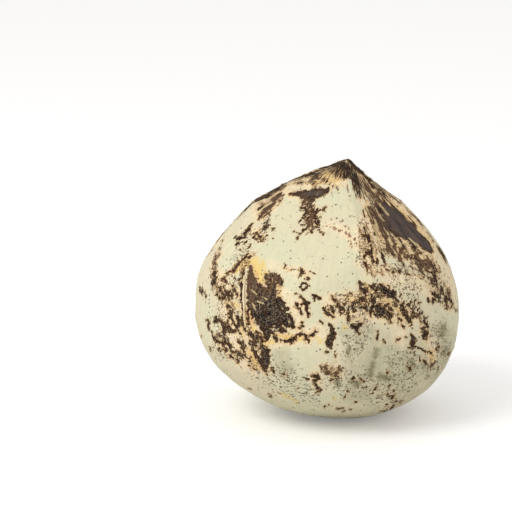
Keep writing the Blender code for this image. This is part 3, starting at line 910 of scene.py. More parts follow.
def unseen(chain):
    """True where the chain's middle looks away from the eye."""
    middle = chain[0][len(chain[0]) // 2]
    if middle[2] > NEAR_TIP:
        return middle[1] > BEHIND_TIP
    ray = (middle - MIDDLE) / np.linalg.norm(middle - MIDDLE)
    return ray @ -view_ahead < SIDE_FACING


def keep(layer, chain):
    if unseen(chain):
        unseen_burns[layer].append(chain)


def scatter(layer, count, lengths, widths, rises=(-45, 70), wander=0.6, along_fibres=0.3,
            around=None, spread=0):
    """Chains of random length and width, round one place or anywhere on the far side."""
    for _ in range(count):
        turn, rise = hand.uniform(*FAR_TURNS), hand.uniform(*rises)
        if around:
            turn, rise = around[0] + hand.normal(0, spread), around[1] + hand.normal(0, spread * 0.8)
        keep(layer, walk(turn, rise, hand.uniform(*lengths), hand.uniform(*widths), wander, along_fibres))


def from_the_tip(layer, count, starts, lengths, widths):
    """Chains that run straight down behind the tip. Starts and lengths are measured sideways, in metres."""
    for _ in range(count):
        round_tip = hand.uniform(0, np.pi)
        start = hand.uniform(*starts)
        reach = np.linspace(start, start + hand.uniform(*lengths), TIP_STOPS)
        guess = (TIP_OFFSET + reach * np.cos(round_tip), reach * np.sin(round_tip),
                 plain_high[2] - reach * TIP_SLOPE)
        points = coconut_form(rays_and_reach(np.column_stack(guess))[0])
        taper = hand.uniform(*widths) * np.linspace(1, 0.4, TIP_STOPS)
        keep(layer, (points, taper * hand.uniform(0.7, 1.3, TIP_STOPS)))


from_the_tip("char", 36, (0.0005, 0.003), (0.003, 0.008), (0.0010, 0.0020))
from_the_tip("char", 70, (0.003, 0.018), (0.003, 0.014), (0.0004, 0.0010))
from_the_tip("mottle", 16, (0.002, 0.010), (0.006, 0.014), (0.002, 0.004))
from_the_tip("toast", 14, (0.001, 0.014), (0.008, 0.016), (0.003, 0.006))
from_the_tip("ochre", 10, (0.004, 0.014), (0.003, 0.008), (0.0005, 0.0012))
BIG_BURNS = {   # turn, rise, size in metres
    "right": (104, 20, 0.0040), "right_low": (128, -10, 0.0022), "back_high": (158, 40, 0.0036),
    "back": (206, 6, 0.0046), "left_back": (240, 42, 0.0028), "left": (264, -4, 0.0026),
    "back_low": (180, -26, 0.0020), "right_back": (150, 8, 0.0022),
}
for turn, rise, size in BIG_BURNS.values():
    here = (turn, rise)
    scatter("char", 7, (size * 2, size * 5), (size * 0.4, size), wander=0.5, along_fibres=0.7,
            around=here, spread=4)
    scatter("char", 22, (0.001, 0.006), (0.0003, 0.0010), around=here, spread=11)
    scatter("mottle", 3, (size * 3, size * 5), (size, size * 2), around=here, spread=6)
    scatter("toast", 3, (size * 3, size * 5), (size, size * 2), around=here, spread=6)
    scatter("ochre", 3, (0.002, 0.006), (0.0005, 0.0012), around=here, spread=6)
for here in ((172, 54), (226, 24), (96, 42)):   # smooth grey burns
    scatter("slate", 3, (0.006, 0.016), (0.0012, 0.0030), wander=0.2, along_fibres=0.9, around=here, spread=3)
    scatter("umber", 2, (0.012, 0.020), (0.003, 0.005), wander=0.2, along_fibres=0.9, around=here, spread=4)
scatter("char", 40, (0.006, 0.024), (0.0004, 0.0014), (60, 84), 0.10, 0.95)     # streaks from the tip
scatter("char", 150, (0.001, 0.006), (0.00025, 0.0009))
scatter("toast", 40, (0.008, 0.022), (0.002, 0.005), (30, 84), 0.2, 0.8)
scatter("toast", 34, (0.006, 0.018), (0.0018, 0.0042), (-40, 24))
scatter("mottle", 16, (0.008, 0.018), (0.003, 0.006), (40, 80), 0.2, 0.8)
scatter("mottle", 22, (0.006, 0.016), (0.002, 0.006), (-12, 22))
scatter("ochre", 20, (0.002, 0.007), (0.0005, 0.0012))
scatter("rust", 24, (0.001, 0.004), (0.0003, 0.0006))
scatter("smudge", 14, (0.002, 0.006), (0.0006, 0.0016), (-50, 20))
scatter("speckle", 18, (0.006, 0.014), (0.004, 0.008), (-60, 40))
# grime with painted shade, low on the far side
scatter("grime_and_shade", 8, (0.006, 0.014), (0.006, 0.010), (-60, 0))
scatter("umber", 12, (0.008, 0.016), (0.003, 0.006), (-10, 60))
print("made up on the far side:", {name: len(chains) for name, chains in unseen_burns.items()})

# %% [markdown]
# A brush stroke has smooth sides and a burn does not. So each corner of the mesh is first nudged by smooth
# noise, in long waves and in short ones, and the nudged place is what the strokes are compared with. The
# strokes then seem to wander and swell. The material will tear their edges more finely later.

# %% Nudged places
LONG_NUDGE = (0.0042, 0.00085)    # size of the waves and how far they push, in metres
SHORT_NUDGE = (0.0014, 0.00045)


def waves(points, size):
    """Smooth noise from about -1 to 1, with the size of its lumps in metres."""
    return np.array([noise.noise(point) for point in points / size])


def nudges(points, size, push):
    return push * np.column_stack([waves(points + apart, size) for apart in (0.0, 0.31, 0.77)])


nudge = nudges(form, *LONG_NUDGE) + nudges(form, *SHORT_NUDGE)
arms = form - eye
ahead_of_eye = arms @ view_ahead
seen_across = FRAME_PIXELS / 2 + pixels_per_metre * VIEW_DISTANCE * (arms @ view_right) / ahead_of_eye
seen_down = FRAME_PIXELS / 2 - pixels_per_metre * VIEW_DISTANCE * (arms @ view_up) / ahead_of_eye
seen = np.column_stack((seen_across, seen_down)) * PIXEL

nut_mesh.vertices.foreach_set("co", form.astype(np.float32).ravel())
nut_mesh.update()
normals = np.zeros(len(form) * 3, np.float32)
nut_mesh.vertices.foreach_get("normal", normals)
facing = -(normals.reshape(-1, 3) @ view_ahead)
print("corners that the eye sees:", int((facing > 0).sum()))

# %% [markdown]
# Every corner now learns how deep inside a burn it lies. For the sharp burns that is a length in
# millimetres: positive inside the nearest stroke, nought on its edge, negative outside. The material
# can then find the edge, a halo round it and the depth of the black from one number. The broad layers
# only need a share from 0 to 1.

# %% How deep in each burn
FARTHEST = 0.006
MM = 1000
LEAST_TRUST, FULL_TRUST = 0.10, 0.26   # how squarely a corner must face the eye for the picture to count
COMBED_FROM, COMBED_FULL = 0.068, 0.092   # height above which burns are drawn out along the fibres
BLUNT_TURN, BLUNT_SPREAD = -24, 34        # but hardly on the broad face at the front, in degrees
BROAD_EDGE = (-0.35, 0.55)    # where a broad layer starts and is full, as a share of its half width
GRIME_AND_SHADE_EDGE = (-1.4, 0.3)
CHARRED = (-0.3, 0.6)         # where the husk starts to be eaten away and is, in millimetres into char


def ease(low, high, values):
    """A smooth step from 0 to 1."""
    t = np.clip((values - low) / (high - low), 0, 1)
    return t * t * (3 - 2 * t)


def depth_in(points, chains, as_share=False):
    """How far inside the nearest chain each point lies, in metres, or as a share of its half width."""
    best = np.full(len(points), -1.0 if as_share else -FARTHEST)
    for stops, widths in chains:
        middle = stops.mean(axis=0)
        span = np.linalg.norm(stops - middle, axis=1).max() + widths.max() * 2 + FARTHEST
        near = np.flatnonzero(((points - middle) ** 2).sum(axis=1) < span**2)
        spot = points[near]
        for a, b, wa, wb in zip(stops, stops[1:], widths, widths[1:]):
            ab = b - a
            share = np.clip((spot - a) @ ab / max(ab @ ab, 1e-12), 0, 1)
            apart = np.linalg.norm(spot - a - share[:, None] * ab, axis=1)
            width = wa + share * (wb - wa)
            inside = (width - apart) / width if as_share else width - apart
            best[near] = np.maximum(best[near], inside)
    return best


def depth_of(strokes, made_up=(), as_share=False, push=1.0):
    """Depth in the strokes read from the picture and in the made-up chains, whichever is deeper."""
    in_space = form + nudge * push
    in_plane = seen + nudge[:, :2] * push
    trust = ease(LEAST_TRUST, FULL_TRUST, facing)
    depth = depth_in(in_space, on_skin(strokes), as_share)
    depth += trust * (depth_in(in_plane, in_picture(strokes), as_share) - depth)
    return np.maximum(depth, depth_in(in_space, made_up, as_share)) if made_up else depth


fields = {}
for name in ("char", "slate", "toast", "ochre", "rust", "smudge"):
    fields[name] = depth_of(seen_burns[name], unseen_burns[name]) * MM
fields["pale"] = depth_of(PALE, push=0.3) * MM
for name in ("mottle", "speckle", "umber"):
    fields[name] = ease(*BROAD_EDGE, depth_of(seen_burns[name], unseen_burns[name], as_share=True))
# The grime field also carries painted shade on the lower part and under the lump.
fields["grime_and_shade"] = ease(*GRIME_AND_SHADE_EDGE, depth_of(GRIME_AND_SHADE, unseen_burns["grime_and_shade"], as_share=True, push=3.0))
turn_now = np.degrees(np.arctan2(rays_now[:, 0], -rays_now[:, 1]))
on_front = np.exp(-(((turn_now - BLUNT_TURN) / BLUNT_SPREAD) ** 2)) * ease(0.116, 0.106, form[:, 2])
fields["combed"] = ease(COMBED_FROM, COMBED_FULL, form[:, 2]) * (1 - 0.85 * on_front)
print("corners in char:", int((fields["char"] > 0).sum()), "of", len(form))

# %% [markdown]
# ## Relief
#
# Husk is springy and uneven even where it looks smooth. The knife skips and leaves shallow flutes along
# the fibres, fire eats a little of the husk away, and the tip, where the stalk was cut, is ragged. All of
# this moves the corners themselves. The plain model is the outer limit, so nearly every move is inwards.

# %% Lumps, flutes, pits and the ragged tip
SKIN_INSET = 0.00035
BROAD_WAVE = (0.020, 0.00045)    # size and height of each kind of unevenness, in metres
SMALL_WAVE = (0.0055, 0.00022)
FLUTE = (0.0018, 0.00009)
CHAR_BITE = 0.00030
GREAT_CHAR_BITE = 0.00085
CHAR_GRAIN = (0.0012, 0.00034)
TIP_RAG = (0.0021, 0.00075)
SCAR_STEP = 0.0009
RAGGED_FROM = (0.100, 0.119)     # heights between which the rag of the tip sets in

lift = -SKIN_INSET + BROAD_WAVE[1] * waves(form, BROAD_WAVE[0]) + SMALL_WAVE[1] * waves(form, SMALL_WAVE[0])
lift += FLUTE[1] * waves(fibre * np.array((1, 1, 0.08)), FLUTE[0])
great = ease(-0.0005, 0.0035, depth_of(GREAT_CHAR))
charred = ease(*CHARRED, fields["char"])
lift -= CHAR_BITE * charred + GREAT_CHAR_BITE * great
lift += CHAR_GRAIN[1] * charred * waves(form + 0.3, CHAR_GRAIN[0])
near_tip = ease(*RAGGED_FROM, form[:, 2])
lift += TIP_RAG[1] * near_tip * waves(form * np.array((1, 1, 0.6)) + 0.7, TIP_RAG[0])

scar_line = on_skin({"scar": ((222, 278, 1), (231, 270, 1), (241, 261, 1), (254, 253, 1))})
scar_near = ease(-0.0045, 0.0002, depth_in(form, scar_line))
scar_normal = np.cross(scar_line[0][0][-1] - scar_line[0][0][0], view_ahead)
scar_normal /= np.linalg.norm(scar_normal)
below_scar = ((form - scar_line[0][0].mean(axis=0)) @ scar_normal) * np.sign(-scar_normal[2])
lift -= SCAR_STEP * scar_near * ease(-0.0003, 0.0009, below_scar)

LUMPS = {   # pixel across, pixel down, reach in pixels, height in metres
    "flap_left_of_band": (357, 322, 5, 0.0006),
    "under_flap": (358, 330, 4, -0.0005),
    "knob_right_rim": (401, 200.5, 2, 0.0005),
    "knob_low_right": (455, 348, 3, 0.0004),
    "dent_right": (418, 300, 16, -0.0004),
    "dent_low": (376, 372, 16, -0.0004),
}
for x, y, size, height in LUMPS.values():
    apart = np.linalg.norm(form - skin_at(x, y), axis=1)
    lift += height * np.exp(-((apart / (size * PIXEL)) ** 2))

skin = form + rays_now * lift[:, None]
skin = np.clip(skin, np.array(plain_low), np.array(plain_high))
skin[form[:, 2] <= ALMOST_NOUGHT, 2] = 0
print("relief, mm, from", round(MM * lift.min(), 2), "to", round(MM * lift.max(), 2))

# %% [markdown]
# The mesh gets its corners and its attributes. An attribute is a column of numbers with a name, and a
# material reads it by that name, so the burns travel with the mesh.

# %% The dressed mesh


def write_column(name, values):
    """One number or one vector for every corner of the nut."""
    kind, field = ("FLOAT_VECTOR", "vector") if values.ndim == 2 else ("FLOAT", "value")
    column = nut_mesh.attributes.new(name, kind, "POINT")
    column.data.foreach_set(field, values.astype(np.float32).ravel())


nut_mesh.vertices.foreach_set("co", skin.astype(np.float32).ravel())
nut_mesh.shade_smooth()
nut_mesh.update()
for name, values in {**fields, "fibre": fibre, "grain": grain}.items():
    write_column(name, values)
nut = object_of("roasted_nut", nut_mesh)
first_face = nut_mesh.polygons[0]
print("first face looks outwards:", first_face.normal.dot(first_face.center) > 0)

# %% [markdown]
# ## Materials
#
# The finish of the husk is a stack: cream ground, tan toasting, yellow and red stains, brown scorch and
# black char, each laid over the last by a mask. The masks come from the attributes, and noise tears
# their edges. Small helpers keep the recipes short. `paint` turns a screen colour into the linear
# numbers that a material wants, and `add` makes a node and feeds it.

# %% Helpers for materials


def paint(red, green, blue):
    """A screen colour, 0 to 255, as a linear colour."""
    screen = np.array((red, green, blue)) / 255
    linear = np.where(screen <= 0.04045, screen / 12.92, ((screen + 0.055) / 1.055) ** 2.4)
    return (*map(float, linear), 1.0)


def add(tree, kind, feeds=None, **settings):
    """A node of that kind with its settings. Each feed is a plain value or the socket that it comes from."""
    made = tree.nodes.new(kind)
    for name, value in settings.items():
        setattr(made, name, value)
    for socket, value in (feeds or {}).items():
        if isinstance(value, bpy.types.NodeSocket):
            tree.links.new(value, made.inputs[socket])
        else:
            made.inputs[socket].default_value = value
    return made


def soft_noise(tree, at, scale, detail, roughness=0.5, output=0):
    """Noise at a place, in lumps about 1 / scale of a metre wide."""
    feeds = {"Vector": at, "Scale": scale, "Detail": detail, "Roughness": roughness}
    return add(tree, "ShaderNodeTexNoise", feeds).outputs[output]


def ramp(tree, value, low, high, at_low, at_high, **settings):
    """The value's way from low to high, turned into a way from at_low to at_high."""
    feeds = {0: value, 1: low, 2: high, 3: at_low, 4: at_high}
    return add(tree, "ShaderNodeMapRange", feeds, **settings).outputs[0]


def mix_values(tree, share, first, second):
    """The first number where the share is 0, the second where it is 1."""
    return add(tree, "ShaderNodeMix", {0: share, 2: first, 3: second}).outputs[0]


def stretched(tree, vector, factors):
    return add(tree, "ShaderNodeVectorMath", {0: vector, 1: factors}, operation="MULTIPLY").outputs[0]


def sums(tree, operation, *values):
    """A Math node's result."""
    return add(tree, "ShaderNodeMath", dict(enumerate(values)), operation=operation).outputs[0]


def blend_colours(tree, mask, under, over, mode="MIX"):
    """Colour `over` laid on `under` where the mask is 1."""
    feeds = {0: mask, 6: under, 7: over}
    made = add(tree, "ShaderNodeMix", feeds, data_type="RGBA", blend_type=mode, clamp_factor=True)
    return made.outputs[2]


def smooth_step(tree, value, low, high):
    """0 below low, 1 above high, smooth between."""
    return ramp(tree, value, low, high, 0.0, 1.0, interpolation_type="SMOOTHSTEP")


def new_group(name, takes, gives):
    """An empty shader group, with what comes in and what goes out.

    What it takes is a number with its usual value, or a vector, which has None. It gives numbers.
    """
    group = bpy.data.node_groups.new(name, "ShaderNodeTree")
    for label, usual in takes.items():
        kind = "NodeSocketVector" if usual is None else "NodeSocketFloat"
        socket = group.interface.new_socket(label, in_out="INPUT", socket_type=kind)
        if usual is not None:
            socket.default_value = usual
    for label in gives:
        group.interface.new_socket(label, in_out="OUTPUT", socket_type="NodeSocketFloat")
    return group, group.nodes.new("NodeGroupInput").outputs, group.nodes.new("NodeGroupOutput").inputs


def use_group(tree, group, feeds):
    return add(tree, "ShaderNodeGroup", feeds, node_tree=group)


print("helpers ready")

# %% [markdown]
# Four effects are used more than once, so each is a node group, built once. `ragged edge` takes a depth
# and two noise coordinates, tears the edge both ways and gives a mask. `fibre streaks` makes the fine
# lines of the husk. `specks` scatters small round dots, and `squiggles` draws short crooked lines.

# %% Shared effects
TEAR_REACH = 11.0       # millimetres that the noise can move an edge, where the tear is 1
THREAD_STRETCH = 0.16
SPECK_WARP = 0.0009     # metres

ragged, takes, gives = new_group(
    "ragged edge",
    {"Depth": 0.0, "Place": None, "Fibre": None, "Combed": 0.5, "Tear": 0.5, "Grain": 900.0,
     "Softness": 0.15},
    ("Mask", "Torn Depth"),
)
drawn_out = stretched(ragged, takes["Fibre"], (1, 1, THREAD_STRETCH))
cloud = soft_noise(ragged, takes["Place"], takes["Grain"], 4.0, 0.72)
lines = soft_noise(ragged, drawn_out, takes["Grain"], 3.0, 0.6)
lines_share = sums(ragged, "MULTIPLY_ADD", takes["Combed"], 0.65, 0.15)
both = mix_values(ragged, lines_share, cloud, lines)
tear_now = sums(ragged, "MULTIPLY", takes["Tear"], TEAR_REACH)
torn = sums(ragged, "MULTIPLY_ADD", sums(ragged, "SUBTRACT", both, 0.5), tear_now, takes["Depth"])
edge_from = sums(ragged, "MULTIPLY", takes["Softness"], -1.0)
ragged.links.new(smooth_step(ragged, torn, edge_from, takes["Softness"]), gives["Mask"])
ragged.links.new(torn, gives["Torn Depth"])

streaks, takes, gives = new_group(
    "fibre streaks", {"Fibre": None, "Grain": 700.0, "Stretch": 0.05}, ("Value",))
stretch = add(streaks, "ShaderNodeCombineXYZ", {0: 1.0, 1: 1.0, 2: takes["Stretch"]}).outputs[0]
long_way = stretched(streaks, takes["Fibre"], stretch)
streaks.links.new(soft_noise(streaks, long_way, takes["Grain"], 5.0, 0.76), gives["Value"])

specks, takes, gives = new_group(
    "specks", {"Place": None, "Grain": 480.0, "Share": 0.3, "Size": 0.3}, ("Mask",))
warp = soft_noise(specks, takes["Place"], 1500.0, 1.0, output=1)
wobble = stretched(specks, warp, (SPECK_WARP,) * 3)
moved = add(specks, "ShaderNodeVectorMath", {0: takes["Place"], 1: wobble}, operation="ADD").outputs[0]
cells = add(specks, "ShaderNodeTexVoronoi", {"Vector": moved, "Scale": takes["Grain"]})
pick = add(specks, "ShaderNodeSeparateColor", {0: cells.outputs["Color"]})
chosen = sums(specks, "LESS_THAN", pick.outputs[0], takes["Share"])
radius = sums(specks, "MULTIPLY", takes["Size"], sums(specks, "ADD", pick.outputs[1], 0.35))
inner = sums(specks, "MULTIPLY", radius, 0.45)
round_dot = smooth_step(specks, cells.outputs["Distance"], radius, inner)
specks.links.new(sums(specks, "MULTIPLY", round_dot, chosen), gives["Mask"])

squiggles, takes, gives = new_group(
    "squiggles", {"Place": None, "Grain": 420.0, "Share": 0.3, "Width": 0.02}, ("Mask",))
bent = soft_noise(squiggles, takes["Place"], takes["Grain"], 2.0, 0.6)
off_line = sums(squiggles, "ABSOLUTE", sums(squiggles, "SUBTRACT", bent, 0.5))
thin = ramp(squiggles, off_line, takes["Width"], sums(squiggles, "MULTIPLY", takes["Width"], 0.4), 0.0, 1.0)
breaks = soft_noise(squiggles, takes["Place"], sums(squiggles, "MULTIPLY", takes["Grain"], 1.7), 1.0)
level = ramp(squiggles, takes["Share"], 0.0, 1.0, 0.72, 0.42)
shown = smooth_step(squiggles, sums(squiggles, "SUBTRACT", breaks, level), 0.0, 0.03)
squiggles.links.new(sums(squiggles, "MULTIPLY", thin, shown), gives["Mask"])
print("groups:", [group.name for group in (ragged, streaks, specks, squiggles)])

# %% [markdown]
# The husk itself. Its cream is slightly green on the broad faces and warmer towards the edges. The
# toasted ground is peach to tan, and its edge is soft. Char turns brown at its rim before it is black,
# and thin marks never get past brown, which is what the depth in millimetres gives for nothing.

# %% Husk colours
CREAM_GREEN = paint(217, 214, 182)
CREAM_WARM = paint(221, 210, 180)
# greyer cream for grime and for painted shade
GRIME_AND_SHADE_CREAM = paint(180, 174, 144)
TOAST_PEACH = paint(239, 220, 184)
TOAST_TAN = paint(229, 202, 163)
HALO_TAN = paint(220, 190, 144)
HALO_BROWN = paint(180, 136, 84)
OCHRE_YELLOW = paint(238, 212, 126)
OCHRE_BROWN = paint(198, 146, 76)
RUST_RED = paint(122, 70, 54)
SCORCH = paint(124, 80, 40)
BROWN = paint(82, 54, 30)
DARK_BROWN = paint(58, 38, 22)
# ash grey, partly painted sheen on the char
BLACK = paint(30, 24, 20)
ASH_AND_SHEEN_GREY = paint(138, 121, 103)
ASH_BROWN = paint(156, 132, 104)
UMBER_BROWN = paint(110, 82, 60)
SLATE_GREY = paint(72, 64, 64)
SLATE_BROWN = paint(98, 80, 67)
OLIVE_SHADE = paint(104, 99, 66)
PALE_HAIR = paint(222, 198, 150)
SPECK_BROWN = paint(88, 66, 44)

husk = bpy.data.materials.new("scorched husk")
husk.use_nodes = True
tree = husk.node_tree
skin_shader = tree.nodes["Principled BSDF"]


def read(name, output="Fac"):
    """One of the mesh's columns of numbers."""
    return add(tree, "ShaderNodeAttribute", attribute_name=name).outputs[output]


place = add(tree, "ShaderNodeTexCoord").outputs["Object"]
threads_at = read("fibre", "Vector")
combed = read("combed")


def cloud_of(scale, detail=3.0, roughness=0.55):
    return soft_noise(tree, place, scale, detail, roughness)


def threads_of(grain_size, stretch_share):
    feeds = {"Fibre": threads_at, "Grain": grain_size, "Stretch": stretch_share}
    return use_group(tree, streaks, feeds).outputs[0]


def squiggles_of(grain_size, share, width):
    feeds = {"Place": place, "Grain": grain_size, "Share": share, "Width": width}
    return use_group(tree, squiggles, feeds).outputs[0]


def torn_edge(layer, tear, grain_size, softness):
    """The ragged edge of one layer of burns."""
    feeds = {"Depth": read(layer), "Place": place, "Fibre": threads_at, "Combed": combed}
    return use_group(tree, ragged, {**feeds, "Tear": tear, "Grain": grain_size, "Softness": softness})


def blend(mask, under, over, mode="MIX"):
    return blend_colours(tree, mask, under, over, mode)


def step(value, low, high):
    return smooth_step(tree, value, low, high)


def times(first, second):
    return sums(tree, "MULTIPLY", first, second)


def less(first, second):
    return sums(tree, "SUBTRACT", first, second)


def deeper(first, second):
    return sums(tree, "MAXIMUM", first, second)


def line(value, slope, start):
    """The start, plus the slope times the value."""
    return sums(tree, "MULTIPLY_ADD", value, slope, start)


broad = cloud_of(38.0)
middling = cloud_of(260.0, 4.0)
fine = cloud_of(1300.0, 3.0)
thread_fine = threads_of(900.0, 0.05)
thread_coarse = threads_of(260.0, 0.10)
print("patterns ready")

# %% [markdown]
# The ground first: two creams mixed by a broad cloud, fine threads in it, a greyer cream where it is
# grimy and where it is painted shade low on the nut and under a lump, and the toasting over that.

# %% Ground and toasting
ground = blend(step(broad, 0.38, 0.66), CREAM_GREEN, CREAM_WARM)
# grime and painted shade turn the cream greyer
ground = blend(times(read("grime_and_shade"), step(middling, 0.0, 0.85)), ground, GRIME_AND_SHADE_CREAM)
thread_tone = ramp(tree, thread_fine, 0.3, 0.7, 0.93, 1.03)
ground = blend(1.0, ground, thread_tone, "MULTIPLY")
small_tone = ramp(tree, middling, 0.3, 0.7, 0.955, 1.02)
ground = blend(1.0, ground, small_tone, "MULTIPLY")

toast_depth = line(less(middling, 0.5), 6.0, read("toast"))
toast_most = line(combed, 0.15, 0.74)
toast_mask = times(step(toast_depth, -2.4, 2.2), toast_most)
toast_colour = blend(step(thread_coarse, 0.42, 0.68), TOAST_PEACH, TOAST_TAN)
toasted = blend(toast_mask, ground, toast_colour)
grit = ramp(tree, cloud_of(1100.0, 4.0, 0.7), 0.34, 0.62, 0.76, 1.10)
grit_share = line(toast_mask, 0.65, 0.20)
toasted = blend(grit_share, toasted, blend(1.0, toasted, grit, "MULTIPLY"))

ochre_mask = torn_edge("ochre", 0.5, 500.0, 1.1).outputs["Mask"]
ochre_near_char = step(read("char"), -2.2, -0.1)
ochre_brown = times(step(thread_coarse, 0.32, 0.54), line(ochre_near_char, 0.65, 0.35))
ochre_colour = blend(ochre_brown, OCHRE_YELLOW, OCHRE_BROWN)
stained = blend(times(ochre_mask, 0.85), toasted, ochre_colour)

smudge_depth = line(less(fine, 0.5), 3.0, read("smudge"))
smudge_mask = times(step(smudge_depth, -1.6, 1.2), 0.78)
stained = blend(smudge_mask, stained, OLIVE_SHADE)
print("ground ready")

# %% [markdown]
# Mottling is too busy to draw stroke by stroke. Where its share is high, a noise that is partly drawn out
# along the fibres is cut at a level that falls as the share rises. The result is a depth like that of the
# drawn char. The deepest of the two and of the smooth grey burn sets the tan halo and the browner ring
# close to the char. Fine crumbs join them for the brown rim and for the black, which needs a deeper burn.
# Pale ash lies on the black in a fine cloud and in thin lines; the cloud is partly painted sheen of the char.

# %% Scorch and char
mottle_cloud = cloud_of(340.0, 6.0, 0.76)
mottle_threads = threads_of(420.0, 0.22)
thread_share = line(combed, 0.60, 0.08)
mottle_value = mix_values(tree, thread_share, mottle_cloud, mottle_threads)
mottle_level = ramp(tree, read("mottle"), 0.0, 1.0, 0.70, 0.53)
mottle_depth = times(less(mottle_value, mottle_level), 11.0)
burn_tear = line(read("mottle"), 0.32, 0.46)
drawn = torn_edge("char", burn_tear, 760.0, 0.10)
slate_edge = torn_edge("slate", 0.55, 420.0, 0.25)
slate_depth = sums(tree, "ADD", slate_edge.outputs["Torn Depth"], 0.15)
burn_depth = deeper(deeper(drawn.outputs["Torn Depth"], mottle_depth), slate_depth)

halo_strength = line(toast_mask, 0.75, 0.30)
halo = times(step(burn_depth, -1.5, -0.05), halo_strength)
scorched = blend(halo, stained, HALO_TAN)
near_burn = times(step(burn_depth, -0.60, 0.0), step(middling, 0.36, 0.60))
near_burn = times(near_burn, line(combed, -0.70, 1.0))
scorched = blend(times(near_burn, 0.65), scorched, HALO_BROWN)
rust_mask = torn_edge("rust", 0.35, 900.0, 0.2).outputs["Mask"]
scorched = blend(times(rust_mask, 0.8), scorched, RUST_RED)
speck_share = line(read("speckle"), 0.46, 0.22)
speck_feeds = {"Place": place, "Grain": 620.0, "Share": speck_share, "Size": 0.33}
speck_mask = use_group(tree, specks, speck_feeds).outputs[0]
scorched = blend(times(speck_mask, 0.85), scorched, SPECK_BROWN)
squiggle_share = line(read("speckle"), 0.80, times(toast_mask, 0.45))
squiggle_mask = squiggles_of(360.0, squiggle_share, 0.038)
scorched = blend(times(squiggle_mask, 0.90), scorched, SPECK_BROWN)

crumb_share = deeper(read("mottle"), times(read("speckle"), 0.85))
crumb_level = ramp(tree, crumb_share, 0.0, 1.0, 0.76, 0.60)
crumb_depth = times(less(cloud_of(900.0, 4.0, 0.7), crumb_level), 5.0)
burn_depth = deeper(burn_depth, crumb_depth)
rim_mask = step(burn_depth, -0.16, 0.16)
rim_colour = blend(step(thread_fine, 0.40, 0.62), SCORCH, BROWN)
brown_share = step(burn_depth, 0.0, 0.42)
black_share = step(burn_depth, 0.5, 1.6)
umber_share = times(read("umber"), step(thread_fine, 0.38, 0.56))
deep_colour = blend(black_share, DARK_BROWN, BLACK)
deep_colour = blend(umber_share, deep_colour, UMBER_BROWN)
char_colour = blend(brown_share, rim_colour, deep_colour)
ash_and_sheen_share = times(line(black_share, 0.66, 0.16), line(combed, -0.60, 1.0))
# a cloud of ash grey on the black, partly painted sheen
ash_and_sheen = times(step(fine, 0.49, 0.61), ash_and_sheen_share)
char_colour = blend(ash_and_sheen, char_colour, ASH_AND_SHEEN_GREY)
ash_lines = squiggles_of(620.0, 0.55, 0.045)
char_colour = blend(times(times(ash_lines, ash_and_sheen_share), 0.85), char_colour, ASH_BROWN)
burnt = blend(rim_mask, scorched, char_colour)

slate_colour = blend(step(thread_coarse, 0.40, 0.62), SLATE_BROWN, SLATE_GREY)
slate_dark = times(step(mottle_value, 0.48, 0.62), 0.55)
slate_colour = blend(slate_dark, slate_colour, BLACK)
slate_mask = step(slate_edge.outputs["Torn Depth"], 0.1, 1.1)
burnt = blend(slate_mask, burnt, slate_colour)

pale_mask = torn_edge("pale", 0.2, 900.0, 0.15).outputs["Mask"]
husk_colour = blend(times(pale_mask, 0.85), burnt, PALE_HAIR)
tree.links.new(husk_colour, skin_shader.inputs["Base Color"])
print("char ready")

# %% [markdown]
# Dry husk is matt, so it has one low specular value all over. Char is rougher still, and the smooth grey
# burn, where the outer skin baked hard, is smoother. Fine relief that the mesh is too coarse for goes into
# a Bump node: threads, pores and the crackle of the char, with its heights in metres.

# %% Sheen and fine relief
HUSK_SPECULAR = 0.12
CHAR_ROUGHNESS = 0.82
SLATE_ROUGHNESS = 0.50
THREAD_RELIEF = 0.00020     # metres, like those that follow
PORE_RELIEF = 0.00022
LUMP_RELIEF = 0.00035
SPECK_RELIEF = -0.00010
CRACKLE_RELIEF = 0.00100
CHAR_RELIEF = -0.00012
HAIR_RELIEF = 0.00020
rough = ramp(tree, middling, 0.3, 0.7, 0.58, 0.74)
rough_burnt = mix_values(tree, rim_mask, rough, CHAR_ROUGHNESS)
rough_slate = mix_values(tree, slate_mask, rough_burnt, SLATE_ROUGHNESS)
tree.links.new(rough_slate, skin_shader.inputs["Roughness"])
skin_shader.inputs["Specular IOR Level"].default_value = HUSK_SPECULAR

height = times(thread_fine, THREAD_RELIEF)
for pattern, relief in (
    (fine, PORE_RELIEF), (mottle_cloud, LUMP_RELIEF), (speck_mask, SPECK_RELIEF),
    (times(fine, rim_mask), CRACKLE_RELIEF), (rim_mask, CHAR_RELIEF), (pale_mask, HAIR_RELIEF),
):
    height = line(pattern, relief, height)
bump = add(tree, "ShaderNodeBump", {"Strength": 1.0, "Distance": 1.0, "Height": height})
tree.links.new(bump.outputs[0], skin_shader.inputs["Normal"])
nut_mesh.materials.append(husk)
print("husk nodes:", len(tree.nodes))

# %% [markdown]
# ## The splinter
#
# Left of the great burn a knife stroke has lifted a pale splinter of husk. It is widest near its top and
# tapers to a point below, and it stands a little off the skin. It is a real piece: a six-sided ring is
# carried along the splinter's line, made flat and wide, and shrunk nearly to a point at both ends.

# %% Splinter
SPLINTER_LINE = (
    (244.8, 276), (244.4, 284), (243.8, 291), (243.8, 299), (244.4, 308), (245.0, 317), (245.8, 329),
)
SPLINTER_HALF_WIDTH = (0.3, 0.9, 1.3, 1.4, 1.2, 1.0, 0.2)    # pixels
SPLINTER_THICKNESS = 0.0005
SPLINTER_LIFT = 0.0006
RINGS_PER_STEP = 5
SIDES = 6
SPLINTER_PALE = paint(230, 217, 184)
SPLINTER_TAN = paint(210, 184, 138)
SPLINTER_BROWN = paint(158, 118, 76)

